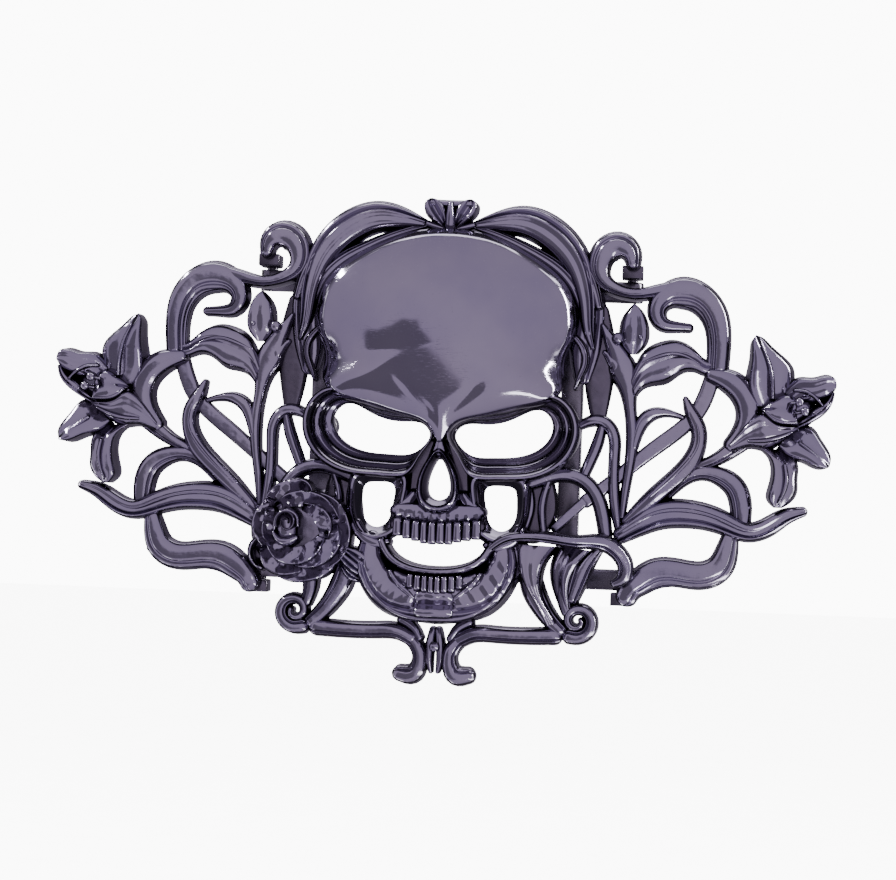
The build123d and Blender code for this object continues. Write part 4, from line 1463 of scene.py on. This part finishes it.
class BUCKLE_OT_leaves(bpy.types.Operator):
    """Make the upper, pointed and long lower leaves"""

    bl_idname = "buckle.leaves"
    bl_label = "Leaves"

    def execute(self, context):
        for leaf, rib_stations in LEAF_RIBS.items():
            for name, side in SIDES.items():
                node = f"{leaf}_{name}"
                depth = front_of(node)
                if leaf in LEAVES:
                    shape, stations = LEAVES[leaf]
                    piece = band(f"cast_{node}", stations, shape, depth, side=side)
                else:
                    rise = (0.85, 1, 1, 0.95, 0.85)
                    piece = blade(f"cast_{node}", *LEAF_EDGES, LEAF, depth, side=side, rise=rise)
                rib = band("rib", rib_stations, ROUND, depth, side=side)
                cast_foliage(joined(f"cast_{node}", [piece, rib]), node)
        return {"FINISHED"}


class BUCKLE_OT_vines(bpy.types.Operator):
    """Make the upright vines, the lily stalks, the lower loops and the flat braces"""

    bl_idname = "buckle.vines"
    bl_label = "Vines"

    def execute(self, context):
        for name, side in SIDES.items():
            for node, bands, shape in (
                ("vine", VINE, ROUND), ("lily_stem", LILY_STEM, TWIN),
                ("lower_loop", [LOWER_LOOP, LOOP_LIP], TWIN),
                ("brace", BRACE, FLAT),
            ):
                node = f"{node}_{name}"
                piece = several(f"cast_{node}", bands, shape, front_of(node), side)
                if bands is BRACE:
                    # The webs are painted dark as shade.
                    webs = [
                        darken(band("web", stations, FLAT, front_of(node) * 0.8, side=side))
                        for stations in WEBS
                    ]
                    piece = joined(f"cast_{node}", [piece, *webs])
                cast_foliage(piece, node)
        return {"FINISHED"}


class BUCKLE_OT_buds(bpy.types.Operator):
    """Make the small petals with a berry beside the temples"""

    bl_idname = "buckle.buds"
    bl_label = "Temple buds"

    def execute(self, context):
        for name, side in SIDES.items():
            depth = front_of(f"leaf_{name}")
            leaf = blade(
                "petal", *BUD_EDGES, PETAL, depth, side=side, tilt=-0.1, rise=(0.7, 0.9, 1.0, 0.95, 0.8)
            )
            berry = ball("berry", -24.4 * side, 13.7, depth - 0.4, 0.85)
            dot = ball("berry", -27.6 * side, 14.0, depth - 0.3, 0.35)
            piece = joined(f"cast_temple_bud_{name}", [leaf, berry, dot])
            cast_foliage(piece, f"temple_bud_{name}")
        return {"FINISHED"}


class BUCKLE_OT_lower_bars(bpy.types.Operator):
    """Make the rails under the jaw, their spirals and the stalks that meet them"""

    bl_idname = "buckle.lower_bars"
    bl_label = "Lower bars"

    def execute(self, context):
        spiral = []
        for i in range(16):
            turn = math.radians(-64 - 33 * i)
            reach = 2.45 - 0.13 * i
            spiral.append(
                (
                    -20.1 + reach * math.cos(turn),
                    -26.6 + reach * math.sin(turn),
                    1.05 - 0.045 * i,
                    1.0 + 0.008 * i,
                )
            )
        inner_stalk = [
            (-13.0, -19.6, 1.3), (-13.6, -22.2, 1.5), (-14.8, -24.6, 1.35), (-16.3, -26.6, 1.15),
            (-17.8, -28.0, 0.95),
        ]
        outer_stalk = [(-19.0, -18.4, 1.2), (-18.3, -20.8, 1.25), (-18.1, -23.2, 1.05), (-18.6, -25.4, 0.8)]
        extra = {
            "left": [],
            "right": [
                [(-22.8, -16.4, 0.6), (-21.2, -18.6, 1.0), (-20.2, -21.0, 1.05), (-19.3, -23.6, 0.85)]
            ],
        }
        for name, side in SIDES.items():
            depth = front_of(f"lower_bar_{name}")
            strands = [RAIL, spiral, inner_stalk, outer_stalk, *extra[name]]
            piece = several(f"cast_lower_bar_{name}", strands, TWIN, depth, side)
            cast_foliage(piece, f"lower_bar_{name}")
        return {"FINISHED"}


class BUCKLE_OT_finials(bpy.types.Operator):
    """Make the bow at the crest and the two curled legs at the bottom"""

    bl_idname = "buckle.finials"
    bl_label = "Finials"

    def execute(self, context):
        depth = front_of("crest_finial")
        bow = []
        for side in BOTH_SIDES:
            edge = [(0.2, 27.8), (1.6, 29.0), (2.9, 30.0), (3.7, 31.2), (3.7, 32.2), (2.9, 32.75)]
            other = [(0.1, 28.2), (0.5, 29.6), (0.7, 31.0), (1.2, 32.0), (2.0, 32.6), (2.7, 32.75)]
            bow.append(
                blade("lobe", edge, other, CUPPED, depth, side=side, rise=(0.7, 0.9, 1.0, 0.95, 0.85))
            )
            tail = [(0.6, 28.4, 0.5, 0.8), (2.6, 28.9, 0.6, 0.8), (4.8, 29.6, 0.4, 0.75)]
            bow.append(band("tail", tail, ROUND, depth - 0.6, side=side))
        bow.append(
            band(
                "knot",
                [(0, 28.0, 0.9, 0.9), (0, 29.6, 0.8), (0, 31.4, 0.6), (0, 32.0, 0.5, 0.95)],
                ROUND,
                depth + 0.2,
            )
        )
        bow.append(
            band(
                "head",
                [(-2.8, 32.1, 0.55, 0.9), (0, 32.0, 0.6, 0.9), (2.8, 32.1, 0.55, 0.9)],
                ROUND,
                depth - 0.4,
            )
        )
        piece = joined("cast_crest_finial", bow)
        cast_foliage(piece, "crest_finial")

        depth = front_of("bottom_finial")
        legs = []
        for side in BOTH_SIDES:
            leg = [
                (-3.7, -29.8, 1.0, 0.9), (-2.4, -31.5, 1.0), (-2.2, -33.4, 1.05), (-3.0, -35.0, 1.3),
                (-4.9, -35.0, 1.1, 0.95),
            ]
            legs.append(band("leg", leg, TWIN, depth, side=side))
            link = [(-2.2, -29.9, 0.6), (-3.1, -28.5, 0.7), (-4.8, -27.4, 0.8)]
            legs.append(band("link", link, ROUND, depth - 0.6, side=side))
            wing = [
                (-0.4, -28.6, 0.5, 0.8), (-0.75, -30.8, 0.65, 0.9), (-0.8, -33.0, 0.6, 0.9),
                (-0.5, -34.6, 0.35, 0.8),
            ]
            legs.append(band("wing", wing, ROUND, depth - 0.8, side=side))
        legs.append(ball("bead", 0.0, -31.0, depth - 0.6, 0.75, (1, 0.8, 1)))
        piece = joined("cast_bottom_finial", legs)
        cast_foliage(piece, "bottom_finial")
        return {"FINISHED"}


# ---------------------------------------------------------------- the fittings on the back
def softened(name, node, width):
    """A copy of a CAD node with its loose triangles merged and its sharp edges rounded."""
    deselect()
    source = frame["nodes"][node]
    copy = source.copy()
    copy.data = source.data.copy()
    copy.name = name
    copy.data.name = name
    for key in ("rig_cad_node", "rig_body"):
        if key in copy:
            del copy[key]
    copy.parent = None
    bpy.context.scene.collection.objects.link(copy)
    make_active(copy)
    bpy.ops.object.mode_set(mode="EDIT")
    bpy.ops.mesh.select_all(action="SELECT")
    bpy.ops.mesh.remove_doubles(threshold=0.000002)
    bpy.ops.mesh.dissolve_limited(angle_limit=math.radians(1.0))
    bpy.ops.object.mode_set(mode="OBJECT")
    rounding = copy.modifiers.new("Rounding", "BEVEL")
    rounding.width = width
    rounding.segments = 3
    rounding.limit_method = "ANGLE"
    rounding.angle_limit = math.radians(40)
    bpy.ops.object.modifier_apply(modifier=rounding.name)
    return copy


class BUCKLE_OT_fittings(bpy.types.Operator):
    """Make the hinged frames, their lugs and pins, and the stud"""

    bl_idname = "buckle.fittings"
    bl_label = "Hinged fittings"

    def execute(self, context):
        width = context.scene.buckle_shape.edge_round
        for node, body, material, slot, share in (
            ("belt_loop", "loop", fitting_plate(), "frames", 1.0),
            ("hook_frame", "hook", fitting_plate(), "frames", 1.0),
            ("hook_stud", "hook", pin_steel(), "pins", 0.6),
            ("belt_loop_pins", "casting", pin_steel(), "pins", 0.4),
            ("hook_frame_pins", "casting", pin_steel(), "pins", 0.4),
            ("lug_pair_left", "casting", foliage_plate(), "foliage", 0.7),
            ("lug_pair_right", "casting", foliage_plate(), "foliage", 0.7),
        ):
            piece = softened(f"fitted_{node}", node, width * share)
            # The lugs are painted dark as shade.
            if node.startswith("lug"):
                darken(piece)
            finish_piece(piece, body, [node], material)
        return {"FINISHED"}


# ---------------------------------------------------------------- the stage
PAPER_LIGHT = 11.0  # strength of the pale surround that lights the floor
RIM_LIGHT = 3.5  # strength of the broken bright ring in the metal's reflections
DARK_CARD_TOWARDS = (-0.48, -0.85, -0.20)
DARK_CARD_REACH = 0.65
DARK_CARD_EDGE = 0.04
DARK_CARD_SHADE = 0.36
# What the metal reflects, from straight ahead of the buckle at 0 to straight behind it at 1.
AHEAD_AND_BEHIND = ((0.56, 0.49, 0.63, 1), (0.55, 0.50, 0.60, 1))
BETWEEN = (
    (0.42, (0.48, 0.42, 0.54, 1)), (0.58, (0.20, 0.18, 0.22, 1)), (0.72, (0.045, 0.04, 0.05, 1)),
    (0.90, (0.06, 0.055, 0.07, 1)), (0.96, (0.42, 0.38, 0.46, 1)),
)
# The bright ring starts, is full from and to, and ends at these places.
RING_STARTS, RING_FULL, RING_ENDS = 0.50, (0.53, 0.60), 0.64


def make_world():
    """Pale to the camera and the floor. The metal sees lilac cards, dark sides and a broken bright ring."""
    world = bpy.data.worlds.new("Studio")
    bpy.context.scene.world = world
    world.use_nodes = True
    # Sampled as a lamp, this world would light the metal with the pale surround and not with the cards.
    world.cycles.sampling_method = "NONE"
    tree = world.node_tree
    nodes, links = tree.nodes, tree.links
    nodes.clear()
    towards = nodes.new("ShaderNodeTexCoord").outputs["Generated"]
    split = nodes.new("ShaderNodeSeparateXYZ")
    links.new(towards, split.inputs["Vector"])
    behind = remapped(tree, split.outputs["Y"], -1.0, 1.0)

    cards = nodes.new("ShaderNodeValToRGB")
    links.new(behind, cards.inputs["Fac"])
    stops = cards.color_ramp.elements
    stops[0].color, stops[1].color = AHEAD_AND_BEHIND
    for place, colour in BETWEEN:
        stops.new(place).color = colour

    ring = nodes.new("ShaderNodeValToRGB")
    links.new(behind, ring.inputs["Fac"])
    stops = ring.color_ramp.elements
    stops[0].position, stops[0].color = RING_STARTS, (0, 0, 0, 1)
    stops[1].position, stops[1].color = RING_ENDS, (0, 0, 0, 1)
    for place in RING_FULL:
        stops.new(place).color = (1, 1, 1, 1)
    patches = remapped(tree, noise_pattern(tree, towards, 3.4, 1.0), 0.47, 0.56, 0.0, RIM_LIGHT)
    glints = scaled(tree, ring.outputs["Color"], patches)

    aside = nodes.new("ShaderNodeVectorMath")
    aside.operation = "DISTANCE"
    aside.inputs[1].default_value = DARK_CARD_TOWARDS
    links.new(towards, aside.inputs[0])
    wavy = maths(tree, "MULTIPLY_ADD", noise_pattern(tree, towards, 2.2), 0.5, aside.outputs["Value"])
    shade = remapped(tree, wavy, DARK_CARD_REACH, DARK_CARD_REACH + DARK_CARD_EDGE, DARK_CARD_SHADE)

    both = nodes.new("ShaderNodeVectorMath")
    links.new(scaled(tree, cards.outputs["Color"], shade), both.inputs[0])
    links.new(glints, both.inputs[1])
    reflected = nodes.new("ShaderNodeBackground")
    links.new(both.outputs[0], reflected.inputs["Color"])
    pale = nodes.new("ShaderNodeBackground")
    pale.inputs["Color"].default_value = (1.0, 1.0, 1.0, 1)
    pale.inputs["Strength"].default_value = PAPER_LIGHT
    mixed = nodes.new("ShaderNodeMixShader")
    links.new(nodes.new("ShaderNodeLightPath").outputs["Is Glossy Ray"], mixed.inputs["Fac"])
    links.new(pale.outputs[0], mixed.inputs[1])
    links.new(reflected.outputs[0], mixed.inputs[2])
    links.new(mixed.outputs[0], nodes.new("ShaderNodeOutputWorld").inputs["Surface"])


def floor_material():
    """Matt pale card, a little uneven."""
    material = bpy.data.materials.new("Pale_card")
    material.use_nodes = True
    tree = material.node_tree
    shader = tree.nodes["Principled BSDF"]
    shader.inputs["Roughness"].default_value = 0.9
    place = tree.nodes.new("ShaderNodeTexCoord").outputs["Object"]
    tone = tree.nodes.new("ShaderNodeValToRGB")
    tone.color_ramp.elements[0].color = (0.90, 0.90, 0.90, 1)
    tone.color_ramp.elements[1].color = (0.95, 0.95, 0.95, 1)
    tree.links.new(noise_pattern(tree, place, 60), tone.inputs["Fac"])
    tree.links.new(tone.outputs["Color"], shader.inputs["Base Color"])
    return material


def area_light(name, place, aim, size, power):
    """A soft box at a place, turned towards its aim."""
    light = bpy.data.lights.new(name, "AREA")
    light.shape = "RECTANGLE"
    light.size, light.size_y = size
    light.energy = power
    obj = bpy.data.objects.new(name, light)
    bpy.context.scene.collection.objects.link(obj)
    obj.location = place
    obj.rotation_euler = (Vector(aim) - Vector(place)).to_track_quat("-Z", "Y").to_euler()


# Each light's name, place, aim, width and height, all in metres, and power in watts.
LIGHTS = (
    ("Key", (-0.45, 0.04, 0.42), (0, 0, 0), (0.36, 0.05), 3.0),
    ("Fill", (0.55, 0.03, 0.22), (0, 0, 0), (0.05, 0.36), 2.4),
    ("Under", (0.10, -0.02, -0.088), (0, 0, -0.02), (0.30, 0.02), 0.12),
    ("Behind", (0.0, 0.5, 0.40), (0, 0, 0), (0.5, 0.3), 1.5),
)
# The middle of the view, and the width that the camera takes in there.
VIEW_MIDDLE = (0.0008, -0.003, -0.0016)
VIEW_WIDTH = 0.12745377
SENSOR_WIDTH = 36.0
FLOOR_SIZE = 6.0


class BUCKLE_OT_stage(bpy.types.Operator):
    """Make the pale floor, the soft light and the camera"""

    bl_idname = "buckle.stage"
    bl_label = "Stage"

    def execute(self, context):
        stage = context.scene.buckle_stage
        deselect()
        bpy.ops.mesh.primitive_plane_add(size=FLOOR_SIZE, location=(0, 0, cad_box[0][2] - stage.floor_drop))
        floor = bpy.context.object
        floor.name = "Floor"
        bpy.ops.object.transform_apply(location=True, rotation=True, scale=True)
        floor.data.materials.append(floor_material())
        floor.visible_glossy = False

        make_world()
        for light in LIGHTS:
            area_light(*light)

        middle = Vector(VIEW_MIDDLE)
        azimuth, elevation = stage.camera_azimuth, stage.camera_elevation
        level = math.cos(elevation)
        out = Vector((math.sin(azimuth) * level, -math.cos(azimuth) * level, math.sin(elevation)))
        lens = bpy.data.cameras.new("Camera")
        lens.sensor_width = SENSOR_WIDTH
        lens.lens = SENSOR_WIDTH * stage.camera_distance / VIEW_WIDTH
        lens.clip_start = 0.01
        lens.clip_end = 20.0
        camera = bpy.data.objects.new("Camera", lens)
        context.scene.collection.objects.link(camera)
        camera.location = middle + out * stage.camera_distance
        camera.rotation_euler = (-out).to_track_quat("-Z", "Y").to_euler()
        camera.rotation_euler.rotate_axis("Z", -stage.camera_roll)
        context.scene.camera = camera
        return {"FINISHED"}


# ---------------------------------------------------------------- the panel
PIECES = (
    BUCKLE_OT_cranium,
    BUCKLE_OT_eye_rims,
    BUCKLE_OT_nose,
    BUCKLE_OT_upper_jaw,
    BUCKLE_OT_teeth,
    BUCKLE_OT_lower_jaw,
    BUCKLE_OT_rose,
    BUCKLE_OT_rose_stem,
    BUCKLE_OT_scrolls,
    BUCKLE_OT_arches,
    BUCKLE_OT_lilies,
    BUCKLE_OT_leaves,
    BUCKLE_OT_vines,
    BUCKLE_OT_buds,
    BUCKLE_OT_lower_bars,
    BUCKLE_OT_finials,
    BUCKLE_OT_fittings,
    BUCKLE_OT_stage,
)


class BUCKLE_PT_panel(bpy.types.Panel):
    """Sizes, colours and the operators that make each piece"""

    bl_label = "Openwork Buckle"
    bl_idname = "BUCKLE_PT_panel"
    bl_space_type = "VIEW_3D"
    bl_region_type = "UI"
    bl_category = "Buckle"

    def draw(self, context):
        for settings in (
            context.scene.buckle_finish, context.scene.buckle_shape, context.scene.buckle_stage
        ):
            box = self.layout.box()
            for key in settings.__annotations__:
                box.prop(settings, key)
        for piece in PIECES:
            self.layout.operator(piece.bl_idname)


CLASSES = (BuckleFinishSettings, BuckleShapeSettings, BuckleStageSettings, *PIECES, BUCKLE_PT_panel)


def register():
    for item in CLASSES:
        bpy.utils.register_class(item)
    bpy.types.Scene.buckle_finish = bpy.props.PointerProperty(type=BuckleFinishSettings)
    bpy.types.Scene.buckle_shape = bpy.props.PointerProperty(type=BuckleShapeSettings)
    bpy.types.Scene.buckle_stage = bpy.props.PointerProperty(type=BuckleStageSettings)


def unregister():
    for key in ("buckle_finish", "buckle_shape", "buckle_stage"):
        delattr(bpy.types.Scene, key)
    for item in reversed(CLASSES):
        bpy.utils.unregister_class(item)


def main():
    register()
    for piece in PIECES:
        group, name = piece.bl_idname.split(".")
        getattr(getattr(bpy.ops, group), name)()


if __name__ == "__main__":
    main()
